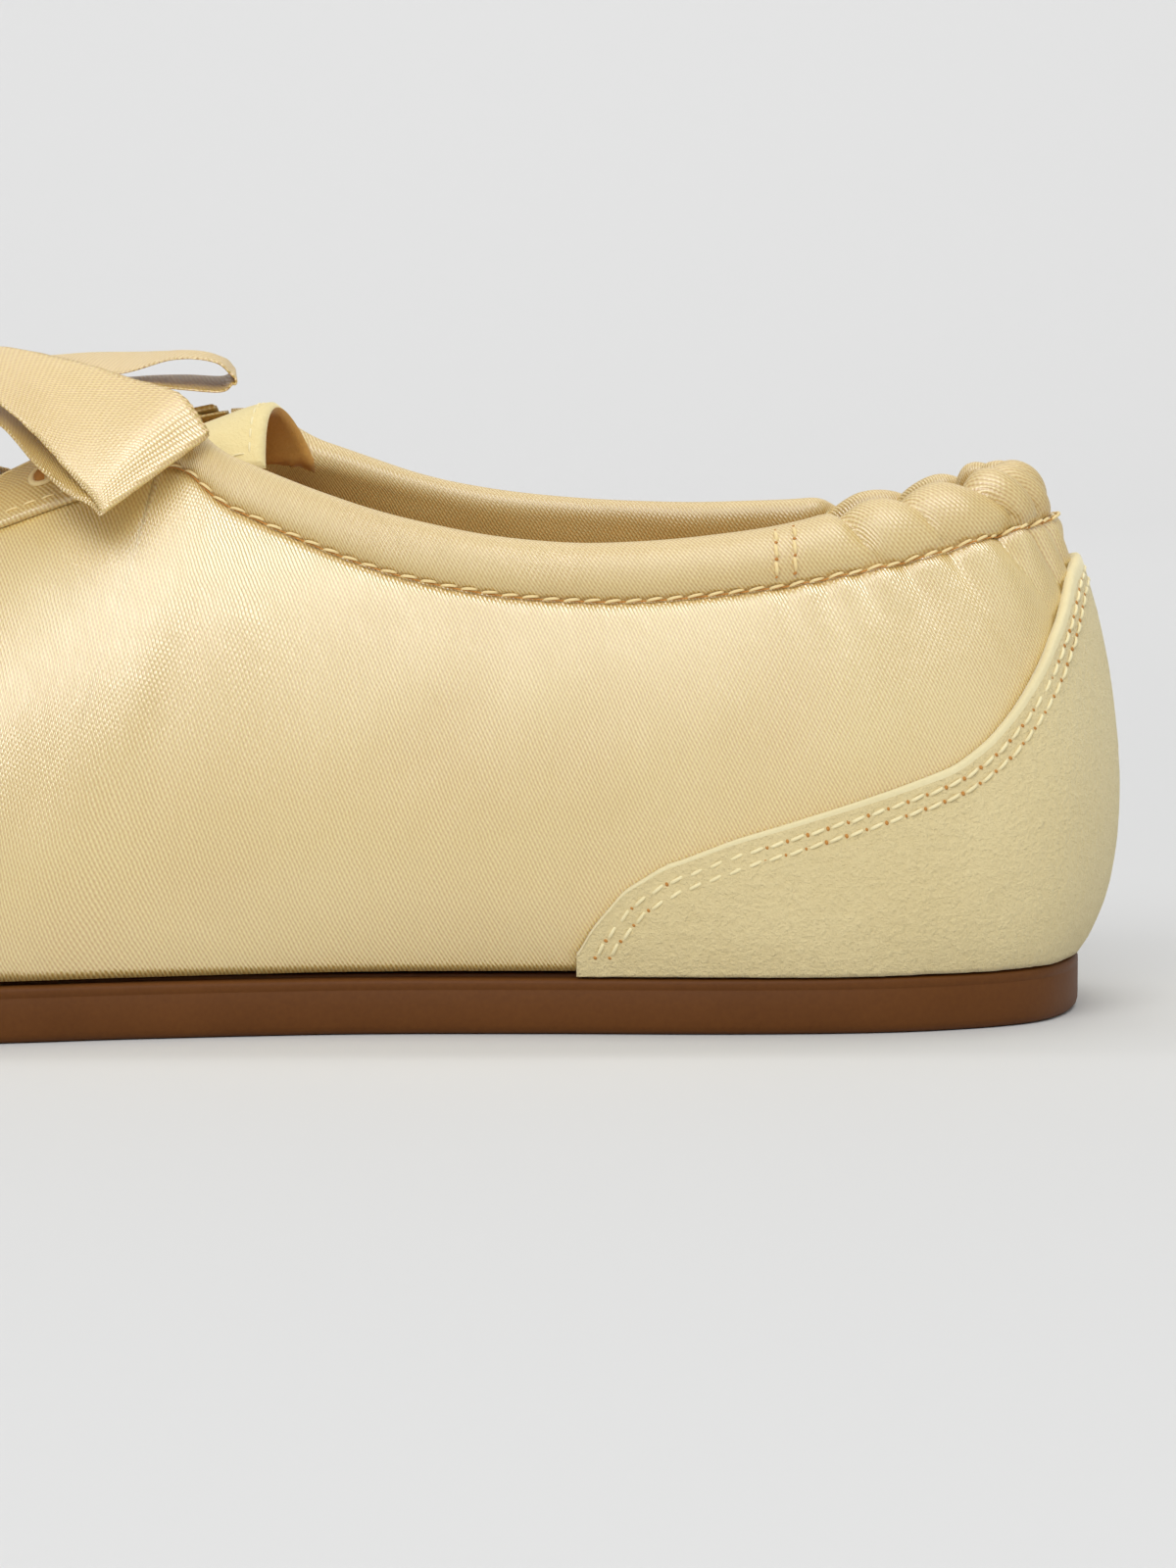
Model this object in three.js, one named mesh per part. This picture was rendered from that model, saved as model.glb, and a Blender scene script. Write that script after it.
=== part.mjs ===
// Ballet slipper: a satin ballet flat for the left foot, EU 38, on a flat gum-rubber sole.
// Millimetres, +Z up. Toe towards -X, heel towards +X, outer (lateral) side towards -Y.
// The origin is at the middle of the footprint box, on the ground.
//
// Every layer of the upper is a slice of one lasted surface. A point of that surface is
// given by a side (lateral or medial), a station v that runs from the back of the heel (0)
// to the tip of the toe (15), and a height t from the sole (0) to the top line (1).
// Layers lie at fixed depths under it, with a gap of 0.3 mm between them.
import * as THREE from 'three';
import { mergeVertices } from 'three/addons/utils/BufferGeometryUtils.js';

// ---- driving dimensions -------------------------------------------------------------
const SOLE_LENGTH = 245;        // outsole, heel to toe
const SOLE_THICK = 7.1;         // side wall of the sole
const HEEL_BULGE = 5.3;         // the heel stands this far behind the sole
const CENTRE_H = (SOLE_LENGTH - HEEL_BULGE + 0.06) / 2;   // middle of the footprint, from the sole's back edge
const CENTRE_Y = -1.848;         // middle of the footprint, across
const TOE_SPRING = 3;           // the toe of the sole lifts by this much
const SPRING_FROM = 195;        // the lift starts here
const GAP = 0.3;                // between touching pieces
const SUEDE = 1.2;              // overlay thickness
const SATIN = 0.8;              // satin on its backing
const BOARD = 1.0;              // stiffener
const LINING = 0.8;
const CASING = 9.0;             // height of the stitched collar casing
const RIBBON = 18;              // ribbon width
const CASING_BREAK = 3.68;      // station of the bar tacks, where the gathers start
const THROAT = 8.0;             // station of the throat corner
const VAMP_SEAM = 11.0;         // station of the seam between quarter and vamp

// depth of each layer's outer face under the lasted surface
const PLY_GAP = 0.45;           // between curved layers, so that their facets stay clear
const D_SUEDE = 0, D_SATIN = SUEDE + PLY_GAP, D_BOARD = D_SATIN + SATIN + PLY_GAP, D_LINING = D_BOARD + BOARD + PLY_GAP;

// ---- the last -----------------------------------------------------------------------
// stations: h from the sole's back edge; outline y on each side; top line or ridge point;
// out and up of the lower handle; out, drop and slope of the upper handle
const LAT = [
  [0, 0, 8, 0, 72.6, 10.5, 12.8, 12, 12, 0],
  [3, -14, 9.5, -8, 72.5, 9.5, 12.8, 11, 12.5, 0],
  [10, -23, 14, -14.5, 71.6, 8, 13, 10, 14, 0],
  [25, -29.5, 26, -20, 68.5, 6.2, 14, 8, 17, 0],
  [45, -31.5, 44, -23, 64.3, 5.5, 14, 7, 18, 0],
  [70, -31, 66, -24, 62.8, 5.5, 14, 7, 18, 0],
  [95, -31.5, 88, -22.5, 66.2, 5.2, 15, 8, 15, 0],
  [120, -35.5, 109, -17, 73.9, 4, 17, 12, 9, 0],
  [135, -39, 119, -12.5, 78.8, 3.4, 17, 15, 6, 0],
  [150, -42, 140, -9, 70.6, 3, 16, 19, 4, -0.2],
  [170, -43.5, 158, -6, 60, 3, 15, 22, 2.5, -0.3],
  [190, -40.5, 176, 0.5, 51.5, 3, 14, 23, 1, -0.42],
  [210, -34.5, 188, 1.5, 46, 3, 13, 22, 0.5, -0.4],
  [228, -25.5, 198, 2.2, 42, 2.6, 12, 21, 0.3, -0.36],
  [240, -13.5, 204, 2.8, 40, 2, 12, 20, 0, -0.34],
  [245, 4.5, 206, 3, 39.3, 1.5, 12, 20, 0, -0.33],
];
const MED_Y = [0, 14, 23, 29, 30, 27, 26, 29, 32, 35.5, 39, 39.5, 37, 31.5, 21.5, 4.5];
const MED_TOP = [[8, 0, 72.6], [9.5, 8, 72.5], [14, 14.5, 71.6], [26, 19.5, 67.8], [44, 21.5, 66.4], [64, 22, 66.7],
  [82, 20.5, 69.2], [99, 16.5, 74.8], [112, 12.8, 79.4], [138, 9, 71.4], [157, 6.5, 60.8]];
const LAST = 15;
const spring = (h) => (h > SPRING_FROM ? TOE_SPRING * ((h - SPRING_FROM) / (SOLE_LENGTH - SPRING_FROM)) ** 2 : 0);
const RING = [];
for (let i = 0; i <= LAST; i++) RING.push(LAT[i].slice());
for (let i = LAST - 1; i >= 1; i--) {
  const r = LAT[i].slice();
  r[1] = MED_Y[i];
  if (i < MED_TOP.length) [r[2], r[3], r[4]] = MED_TOP[i];
  RING.push(r);
}
const N = RING.length;

function ring(u, k) {
  const i = Math.floor(u), f = u - i;
  const p = (j) => RING[((j % N) + N) % N][k];
  const a = p(i - 1), b = p(i), c = p(i + 1), d = p(i + 2);
  return b + 0.5 * f * (c - a + f * (2 * a - 5 * b + 4 * c - d + f * (3 * (b - c) + d - a)));
}
const toU = (side, v) => (side < 0 ? v : N - v);

function lasted(u, t) {
  const e = 0.02;
  let dh = ring(u + e, 0) - ring(u - e, 0), dy = ring(u + e, 1) - ring(u - e, 1);
  const l = Math.hypot(dh, dy);
  const nh = dy / l, ny = -dh / l;
  const F = [ring(u, 0), ring(u, 1), SOLE_THICK + GAP + spring(ring(u, 0))];
  const v = u <= LAST ? u : N - u, both = (k) => (v >= VAMP_SEAM && u > 0 ? (ring(v, k) + ring(N - v, k)) / 2 : ring(u, k));
  const T = [both(2), both(3), both(4)];
  const b1 = ring(u, 5), c1 = ring(u, 6), a2 = ring(u, 7), b2 = ring(u, 8), g = ring(u, 9);
  const P1 = [F[0] + nh * b1, F[1] + ny * b1, F[2] + c1];
  const P2 = [T[0] + nh * a2, T[1] + ny * a2, T[2] + a2 * nh * g - b2];
  const s = 1 - t, w = [s * s * s, 3 * s * s * t, 3 * s * t * t, t * t * t];
  return [0, 1, 2].map((k) => w[0] * F[k] + w[1] * P1[k] + w[2] * P2[k] + w[3] * T[k]);
}
const sub = (a, b) => [a[0] - b[0], a[1] - b[1], a[2] - b[2]];
const add = (a, b, k = 1) => [a[0] + b[0] * k, a[1] + b[1] * k, a[2] + b[2] * k];
const cross = (a, b) => [a[1] * b[2] - a[2] * b[1], a[2] * b[0] - a[0] * b[2], a[0] * b[1] - a[1] * b[0]];
const unit = (a) => { const l = Math.hypot(...a) || 1; return [a[0] / l, a[1] / l, a[2] / l]; };
const mix = (a, b, f) => a.map((x, k) => x + (b[k] - x) * f);

function rawNormal(u, t) {
  const e = 0.01, t0 = Math.max(0, t - e), t1 = Math.min(1, t + e);
  const du = sub(lasted(u + e, t), lasted(u - e, t)), dt = sub(lasted(u, t1), lasted(u, t0));
  return unit(cross(dt, du));
}
function normal(u, t) {                 // outward; the two sides agree along the ridge
  const v = u <= LAST ? u : N - u;
  if (u < 0 || t <= 0.85 || v < VAMP_SEAM) return rawNormal(u, t);
  const g = ring(Math.max(v, VAMP_SEAM), 9), crest = unit([-g, 0, 1]).map((x) => x * NSGN);
  const n = t > 0.9999 ? crest : unit(mix(rawNormal(u, Math.min(t, 0.94)), crest, (t - 0.85) / 0.15));
  return n;
}
const NSGN = (() => (rawNormal(5, 0.4)[1] < 0 ? 1 : -1))();
const at = (u, t, depth) => add(lasted(u, t), normal(u, t), -NSGN * depth);

// height t of the point s millimetres under the top line
function tBelow(u, s) {
  let p = lasted(u, 1), d = 0;
  for (let i = 199; i >= 0; i--) {
    const q = lasted(u, i / 200), e = Math.hypot(...sub(p, q));
    if (d + e >= s) return (i + 1 - (s - d) / e) / 200;
    d += e; p = q;
  }
  return 0;
}
function tAtZ(u, z) {
  for (let i = 0; i < 200; i++) if (lasted(u, (i + 1) / 200)[2] >= z) return i / 200;
  return 1;
}
const table = (rows) => (x) => {
  if (x <= rows[0][0]) return rows[0][1];
  for (let i = 1; i < rows.length; i++) if (x <= rows[i][0]) {
    const [a, b] = [rows[i - 1], rows[i]];
    return a[1] + (b[1] - a[1]) * (x - a[0]) / (b[0] - a[0]);
  }
  return rows[rows.length - 1][1];
};

// ---- mesh helpers -------------------------------------------------------------------
const toWorld = (p) => [CENTRE_H - p[0], p[1] - CENTRE_Y, p[2]];
const root = new THREE.Group();
const COLOURS = {
  satin: [0xE3D2AB, 0.38], suede: [0xDFD1A2, 0.92], rubber: [0x67411D, 0.55], lining: [0xE6D6A6, 0.85],
  board: [0xCDBFA0, 0.9], elastic: [0xF0EBDD, 0.8], ribbon: [0xE0C88C, 0.35], thread: [0xF2E6BE, 0.7],
};
function solid(name, material, points, faces) {
  const g = new THREE.BufferGeometry();
  const pos = [];
  for (const f of faces) for (let k = 1; k + 1 < f.length; k++) for (const i of [f[0], f[k], f[k + 1]]) pos.push(...toWorld(points[i]));
  g.setAttribute('position', new THREE.Float32BufferAttribute(pos, 3));
  const m = mergeVertices(g, 1e-3);
  const P = m.attributes.position, idx = Array.from(m.index.array), keep = [];
  let vol = 0;
  const a = new THREE.Vector3(), b = new THREE.Vector3(), c = new THREE.Vector3();
  for (let i = 0; i < idx.length; i += 3) {
    const [p, q, r] = [idx[i], idx[i + 1], idx[i + 2]];
    if (p === q || q === r || r === p) continue;
    keep.push(p, q, r);
    a.fromBufferAttribute(P, p); b.fromBufferAttribute(P, q); c.fromBufferAttribute(P, r);
    vol += a.dot(b.clone().cross(c));
  }
  if (vol < 0) for (let i = 0; i < keep.length; i += 3) [keep[i + 1], keep[i + 2]] = [keep[i + 2], keep[i + 1]];
  m.setIndex(keep);
  m.computeVertexNormals();
  const mesh = new THREE.Mesh(m, new THREE.MeshStandardMaterial({ color: COLOURS[material][0], roughness: COLOURS[material][1], metalness: 0 }));
  mesh.name = name;
  root.add(mesh);
  return mesh;
}
// a shell between two grids of points; ridge leaves the top edge open where the sides join
function shell(name, material, outer, inner, ridge = false) {
  const nc = outer.length, nr = outer[0].length, pts = [...outer.flat(), ...inner.flat()], faces = [];
  const o = (i, j) => i * nr + j, n = (i, j) => nc * nr + i * nr + j;
  for (let i = 0; i + 1 < nc; i++) {
    for (let j = 0; j + 1 < nr; j++) {
      faces.push([o(i, j), o(i + 1, j), o(i + 1, j + 1), o(i, j + 1)]);
      faces.push([n(i, j), n(i, j + 1), n(i + 1, j + 1), n(i + 1, j)]);
    }
    faces.push([o(i, 0), n(i, 0), n(i + 1, 0), o(i + 1, 0)]);
    if (!ridge) faces.push([o(i, nr - 1), o(i + 1, nr - 1), n(i + 1, nr - 1), n(i, nr - 1)]);
  }
  for (let j = 0; j + 1 < nr; j++) {
    faces.push([o(0, j), o(0, j + 1), n(0, j + 1), n(0, j)]);
    faces.push([o(nc - 1, j), n(nc - 1, j), n(nc - 1, j + 1), o(nc - 1, j + 1)]);
  }
  return solid(name, material, pts, faces);
}
// part of the upper: stations us, heights lo..hi, depths from out to inn
function panel(name, material, us, lo, hi, rows, out, thick, ridge = false) {
  const grid = (d) => us.map((u) => {
    const a = lo(u), b = hi(u);
    return Array.from({ length: rows + 1 }, (_, j) => at(u, a + (b - a) * j / rows, d));
  });
  return shell(name, material, grid(out), grid(out + thick), ridge);
}
// a closed section carried along a list of frames
function sweep(name, material, rings) {
  const n = rings[0].length, pts = rings.flat(), faces = [], L = rings.length;
  for (let i = 0; i + 1 < L; i++) for (let j = 0; j < n; j++) {
    const k = (j + 1) % n;
    faces.push([i * n + j, (i + 1) * n + j, (i + 1) * n + k], [i * n + j, (i + 1) * n + k, i * n + k]);
  }
  return { name, material, pts, faces, n, L };
}
function capFan(s, order) {               // end caps as strips across the section
  const cap = (base, flip) => order.forEach((f) => s.faces.push(flip ? f.map((i) => base + i).reverse() : f.map((i) => base + i)));
  cap(0, false); cap((s.L - 1) * s.n, true);
  return solid(s.name, s.material, s.pts, s.faces);
}
const span = (a, b, n) => Array.from({ length: n + 1 }, (_, i) => a + (b - a) * i / n);
const stationOf = (u) => { const w = ((u % N) + N) % N; return w <= LAST ? w : N - w; };

// ---- sole, insole board and footbed ---------------------------------------------------
// rings inset from the outline, joined across by strips so that the faces stay flat
function slab(name, material, inset, z0, z1, round, per = 28, tip = 0) {
  const vs = [];
  for (let i = 0; i <= per; i++) vs.push(LAST * i / per);
  const us = [...vs.map((v) => v), ...vs.slice(1, -1).reverse().map((v) => N - v)];
  const outline = (d, z) => us.map((u) => {
    const e = 0.02, dh = ring(u + e, 0) - ring(u - e, 0), dy = ring(u + e, 1) - ring(u - e, 1), l = Math.hypot(dh, dy);
    const h = ring(u, 0) - dy / l * d, y = ring(u, 1) + dh / l * d;
    return [h, y, z + spring(h)];
  });
  const rings = round ? [outline(inset + round, z0), outline(inset + round * 0.3, z0 + round * 0.3), outline(inset, z0 + round), outline(inset, z1 - 0.6), outline(inset + 0.5, z1)]
    : [outline(inset, z0), outline(inset, z1)];
  const n = us.length, pts = rings.flat(), faces = [];
  for (let i = 0; i + 1 < rings.length; i++) for (let j = 0; j < n; j++) {
    const k = (j + 1) % n;
    faces.push([i * n + j, i * n + k, (i + 1) * n + k, (i + 1) * n + j]);
  }
  const cap = (base, flip) => {
    for (let j = 0; j < per; j++) {
      const a = base + j, b = base + j + 1, c = base + (n - j - 1) % n, d = base + (n - j) % n;
      const q = j === 0 ? [a, b, c] : j === per - 1 ? [a, b, d] : [a, b, c, d];
      faces.push(flip ? q.reverse() : q);
    }
  };
  cap(0, true); cap((rings.length - 1) * n, false);
  solid(name, material, pts, faces);
}
slab('outsole', 'rubber', 0, 0, SOLE_THICK, 1.2);
slab('insole_board', 'board', 6.2, SOLE_THICK + GAP, SOLE_THICK + GAP + 1.5, 0);
slab('footbed', 'lining', 6.4, SOLE_THICK + 2 * GAP + 1.5, SOLE_THICK + 2 * GAP + 5, 0);

// ---- the upper ------------------------------------------------------------------------
const both = (v, n) => [...span(v, 0, n), ...span(N, N - v, n).slice(1)].map((u) => u);   // lateral, heel, medial
const rear = (v, n) => span(v, 0, n).concat(span(0, -v, n).slice(1));                     // as one run through the heel
const toeRun = (v, n) => span(v, LAST, n).concat(span(LAST, N - v, n).slice(1));
const zero = () => 0;
// the casing is lower along the side than round the heel and at the throat
const casingScale = (u) => table([[0, 1.02], [3, 1.02], [4, 0.9], [5, 0.87], [6, 0.92], [7, 1.0], [8, 1.08]])(stationOf(u));
const collarTop = (u) => (stationOf(u) <= THROAT ? tBelow(u, (CASING + GAP) * casingScale(u)) : 1);
const quarterStations = (sgn, a, b) => {
  const vs = [...span(a, 3, 10), ...span(3, THROAT, 10).slice(1), THROAT + 0.06, ...span(THROAT + 0.06, b, 6).slice(1)];
  return vs.map((v) => sgn < 0 ? v : -v);
};
panel('quarter_lateral', 'satin', quarterStations(-1, 0.02, VAMP_SEAM - 0.02), zero, collarTop, 7, D_SATIN, SATIN);
panel('quarter_medial', 'satin', quarterStations(1, 0.02, VAMP_SEAM - 0.02), zero, collarTop, 7, D_SATIN, SATIN);
panel('vamp', 'satin', toeRun(VAMP_SEAM + 0.02, 12), zero, () => 1, 8, D_SATIN, SATIN, true);
{
  const q = quarterStations(-1, 0, VAMP_SEAM - 0.02);
  panel('quarter_lining', 'lining', [...q.slice().reverse(), ...q.slice(1).map((u) => -u)], () => 0.03, collarTop, 6, D_LINING, LINING);
}
panel('vamp_lining', 'lining', toeRun(VAMP_SEAM + 0.02, 12), () => 0.03, () => 1, 6, D_LINING, LINING, true);

const COUNTER_BACK = [[0, 59.6], [0.4, 59.2], [0.8, 57.8], [1.2, 54.5], [1.6, 50]];
const counterLateral = table([...COUNTER_BACK, [1.92, 44.8], [2.17, 40.5], [2.4, 37], [2.66, 34], [3.05, 31.5], [3.56, 28.3], [4.06, 25.1], [4.44, 21.5], [4.62, 18.5], [4.77, 13.5], [4.84, 9.8]]);
const counterMedial = table([...COUNTER_BACK, [1.92, 45.3], [2.17, 41.3], [2.5, 37.3], [3, 34], [3.5, 32.2], [4, 30.3], [4.3, 28.6], [4.6, 26.2], [4.8, 23.5], [4.92, 18], [5.02, 10]]);
const BACK_STATIONS = [3, 2.66, 2.4, 2.17, 1.92, 1.6, 1.2, 0.8, 0.4];
const counterTop = (u) => tAtZ(u, (u >= 0 ? counterLateral : counterMedial)(stationOf(u)));
panel('heel_counter', 'suede', [4.84, 4.77, 4.62, 4.44, 4.2, 3.9, 3.56, 3.3, ...BACK_STATIONS, 0, ...BACK_STATIONS.slice().reverse().map((v) => -v),
  -3.3, -3.6, -4, -4.3, -4.6, -4.8, -4.92, -5.02], zero, counterTop, 8, D_SUEDE, SUEDE);
panel('heel_stiffener', 'board', rear(4.3, 12), () => 0.05, (u) => tAtZ(u, table([[0, 50], [3, 30], [4.3, 19]])(stationOf(u))), 5, D_BOARD, BOARD);

const capEdge = table([[12, 0.07], [12.4, 0.2], [13, 0.37], [13.6, 0.5], [14.3, 0.59], [15, 0.62]]);
const CAP_STATIONS = [12, 12.2, 12.4, 12.7, 13, 13.3, 13.6, 14, 14.3, 14.65, 15];
panel('toe_cap', 'suede', [...CAP_STATIONS, ...CAP_STATIONS.slice(0, -1).reverse().map((v) => N - v)],
  zero, (u) => capEdge(stationOf(u)), 7, D_SUEDE, SUEDE);
panel('toe_puff', 'board', toeRun(12.4, 8), () => 0.06, () => 0.78, 5, D_BOARD, BOARD);

// facings along both edges of the throat, which carry the lace holes
for (const [name, s] of [['eyestay_lateral', -1], ['eyestay_medial', 1]])
  panel(name, 'satin', span(THROAT + 0.1, VAMP_SEAM - 0.12, 8).map((v) => toU(s, v)), (u) => tBelow(u, 13), () => 0.995, 3, 0.3, 0.9);

// collar casings: a folded band, open below, that holds the elastic round the heel
const U_SECTION = [[8.6, 0.9], [1.3, 0.9], [0.3, 1.9], [0, 3.1], [0.3, 4.3], [1.3, 5.3], [8.6, 5.3],
  [8.6, 4.5], [1.7, 4.5], [1.1, 3.1], [1.7, 1.7], [8.6, 1.7]];
const U_CAP = [[0, 1, 10, 11], [1, 2, 10], [2, 3, 9, 10], [3, 4, 8, 9], [4, 5, 8], [5, 6, 7, 8]];
function casing(name, us) {
  const rings = us.map((u) => U_SECTION.map(([s, d]) => at(u, tBelow(u, s * casingScale(u)), d)));
  capFan(sweep(name, 'satin', rings), U_CAP);
}
casing('collar_casing_lateral', span(CASING_BREAK + 0.02, THROAT - 0.03, 11));
casing('collar_casing_medial', span(-CASING_BREAK - 0.02, -THROAT + 0.03, 11));
casing('collar_casing_heel', rear(CASING_BREAK - 0.02, 11));
{
  const rings = rear(CASING_BREAK - 0.1, 10).map((u) => [[2.6, 2.6], [2.6, 3.6], [7.6, 3.6], [7.6, 2.6]].map(([s, d]) => at(u, tBelow(u, s), d)));
  capFan(sweep('collar_elastic', 'elastic', rings), [[0, 1, 2, 3]]);
}
// bar tacks: two short dense rows across the casing at each end of the gathers
for (const [name, s] of [['bartack_lateral', 1], ['bartack_medial', -1]]) {
  const us = span(CASING_BREAK + 0.03, CASING_BREAK + 0.16, 2).map((v) => s * v);
  const rings = us.map((u) => [[1.4, 0.05], [1.4, 0.6], [7.6, 0.6], [7.6, 0.05]].map(([d, o]) => at(u, tBelow(u, d), o)));
  capFan(sweep(name, 'thread', rings), [[0, 1, 2, 3]]);
}

// ---- tongue -----------------------------------------------------------------------------
const TONGUE_SEAM = 167;
const tongueCrown = table([[96, 80], [102, 79.6], [108, 78.8], [114, 76.6], [119, 74.4], [125, 71.2], [132, 68.2], [140, 64.6], [149, 60.2], [158, 55.3], [167, 50]]);
const tongueHalf = table([[100, 10.6], [110, 10.8], [117, 12.6], [124, 15], [135, 17], [150, 18], [167, 15]]);
const tongueRadius = table([[100, 6.6], [108, 7.2], [114, 9.5], [124, 18], [140, 24], [167, 26]]);
// the tongue lies under the inner face of the quarters and of the collar
const UNDER = [];
for (const s of [-1, 1]) for (let v = 7; v <= 12.01; v += 0.06) {
  const u = toU(s, v);
  for (let t = 0.4; t <= 1.001; t += 0.02) UNDER.push(at(u, Math.min(1, t), v < 8.1 ? 5.4 : D_LINING + LINING));
}
function tongueZ(h, y) {
  let best = 1e9, z = 0;
  for (const p of UNDER) {
    const e = (p[0] - h) ** 2 + (p[1] - y) ** 2;
    if (e < best) { best = e; z = p[2]; }
  }
  const free = tongueCrown(h) - y * y / (2 * tongueRadius(h));
  return best < 9 ? Math.min(free, z - 1.3) : free;
}
{
  const grid = (d) => span(0, 1, 14).map((f) => span(-1, 1, 8).map((q) => {
    const back = 105.2 - 2.7 * q - 1.9 * q * q, h = back + (TONGUE_SEAM - back) * f;
    const y = q * tongueHalf(h);
    return [h, y, tongueZ(h, y) - d];
  }));
  shell('tongue', 'suede', grid(0), grid(1.4));
}

// ---- ribbon lacing and bow ----------------------------------------------------------------
function curve(points, n) {
  const c = new THREE.CatmullRomCurve3(points.map((p) => new THREE.Vector3(...p)), false, 'centripetal');
  return c.getPoints(n).map((p) => [p.x, p.y, p.z]);
}
// a band of given half width and thickness along a path; across gives the width direction
function band(name, path, half, thick, across) {
  const n = path.length - 1;
  const rings = path.map((p, i) => {
    const t = unit(sub(path[Math.min(n, i + 1)], path[Math.max(0, i - 1)]));
    const f = i / n;
    let w = across(f); const k = w[0] * t[0] + w[1] * t[1] + w[2] * t[2];
    w = unit(add(w, t, -k));
    let m = unit(cross(w, t)); if (m[2] < 0) m = m.map((x) => -x);
    const hw = half(f), th = thick(f) / 2;
    const q = (a, b) => add(add(p, w, a), m, b);
    return [q(-hw, -th * 0.4), q(-hw, th * 0.4), q(-hw * 0.55, th), q(hw * 0.55, th), q(hw, th * 0.4), q(hw, -th * 0.4), q(hw * 0.55, -th), q(-hw * 0.55, -th)];
  });
  capFan(sweep(name, 'ribbon', rings), [[0, 1, 2, 7], [7, 2, 3, 6], [6, 3, 4, 5]]);
}
const over = (side, v, s, lift) => at(toU(side, v), tBelow(toU(side, v), s), -lift);
const ridgeAt = (h, lift) => [h, 0, table([[118, 81], [130, 77.2], [140, 73.4], [150, 68], [158, 63.2], [168, 57.4]])(h) + lift];
const alongShoe = () => [0.9, 0, -0.42];
function crossing(name, vLat, vMed, lift, half) {
  const a = over(-1, vLat, 8, lift), b = over(1, vMed, 8, lift);
  const a2 = over(-1, vLat + (vMed - vLat) * 0.2, 2, lift + 0.3), b2 = over(1, vMed + (vLat - vMed) * 0.2, 2, lift + 0.3);
  const mid = ridgeAt((a2[0] + b2[0]) / 2, lift);
  band(name, curve([a, a2, mid, b2, b], 14), () => half, () => 0.7, alongShoe);
}
crossing('ribbon_cross_lower_under', 10.55, 10.05, 0.5, 3.2);
crossing('ribbon_cross_lower_over', 10.05, 10.55, 2.6, 3.2);
crossing('ribbon_cross_upper_under', 9.75, 9.2, 0.5, 3.2);
crossing('ribbon_cross_upper_over', 9.2, 9.75, 2.6, 3.2);

const KNOT = [151, -1, 77.4];
{
  const g = new THREE.SphereGeometry(1, 16, 10);
  g.deleteAttribute('normal'); g.deleteAttribute('uv');
  const m = mergeVertices(g, 1e-4), P = m.attributes.position, pts = [], faces = [], idx = m.index.array;
  for (let i = 0; i < P.count; i++) pts.push([KNOT[0] + P.getX(i) * 5.6, KNOT[1] + P.getY(i) * 5.6, KNOT[2] + P.getZ(i) * 5.4]);
  for (let i = 0; i < idx.length; i += 3) faces.push([idx[i], idx[i + 1], idx[i + 2]]);
  solid('bow_knot', 'ribbon', pts, faces);
}
// loops: the closed outer form of each ribbon loop, from the knot to the fold. Each row holds
// the upper layer's near and far edge and the lower layer's near and far edge.
function loop(name, rows, side) {
  const lines = [0, 1, 2, 3].map((k) => curve(rows.map((r) => r[k]), 12));
  const rings = lines[0].map((_, i) => {
    const [ua, ub, la, lb] = lines.map((l) => l[i]);
    let up = unit(cross(sub(ub, ua), sub(lines[0][Math.min(12, i + 1)], lines[0][Math.max(0, i - 1)])));
    if (up[2] < 0) up = up.map((x) => -x);
    return [add(ua, up, 0.1), add(mix(ua, ub, 0.5), up, 0.7), add(ub, up, 0.1), add(lb, up, -0.15), add(mix(la, lb, 0.5), up, -0.15), add(la, up, -0.15)];
  });
  capFan(sweep(name, 'ribbon', rings), [[0, 1, 4, 5], [1, 2, 3, 4]]);
}
loop('bow_loop_lateral', [
  [[149.5, -7.5, 78.1], [146.3, -5.4, 80.6], [149.5, -7.3, 75.8], [146.2, -5.5, 76.8]],
  [[145.5, -14.5, 80.4], [144.2, -5.6, 84.8], [145.5, -13.5, 77.4], [143.5, -5.8, 80.5]],
  [[139.2, -21, 79.4], [140.8, -6, 86.3], [139.3, -20, 76.8], [139, -7, 81.5]],
  [[133.5, -24.5, 74.6], [132.1, -9, 84.7], [134.8, -23.8, 72.2], [131, -10.5, 80.4]],
  [[129, -28, 69.8], [123, -14, 82.5], [130.2, -27.8, 68.2], [122.5, -15, 79.8]],
  [[126.6, -30, 67.6], [116.4, -17.6, 80.5], [127, -30, 66.8], [116, -18.4, 78.4]],
  [[125.6, -31.2, 66.3], [112.8, -20, 76.1], [125.7, -31.2, 65.7], [112.9, -20, 75.3]]]);
loop('bow_loop_medial', [
  [[146.5, 3.9, 80.4], [149.3, 6.0, 78], [146.4, 4.1, 76.9], [149.3, 5.8, 75.9]],
  [[141, 4.2, 82.2], [143.5, 12, 83.4], [141, 4.4, 78.8], [143, 11.5, 78.8]],
  [[133.5, 5, 82], [133.5, 19, 85], [133.5, 5, 79.8], [133, 18, 81.2]],
  [[126.1, 6, 82.4], [125, 22, 85.2], [125.4, 6.2, 81.2], [124.6, 21, 82]],
  [[119.2, 6.5, 84.5], [118.5, 23.5, 85.2], [118.8, 6.8, 80.7], [118.8, 22.5, 82.2]],
  [[113.8, 7, 84.2], [113.8, 24, 84.4], [113, 7.2, 80.3], [114, 23.6, 82]],
  [[111.2, 7.3, 82.2], [112.4, 24.2, 83.2], [111.3, 7.3, 81.3], [112.5, 24.2, 82.5]]]);
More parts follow.
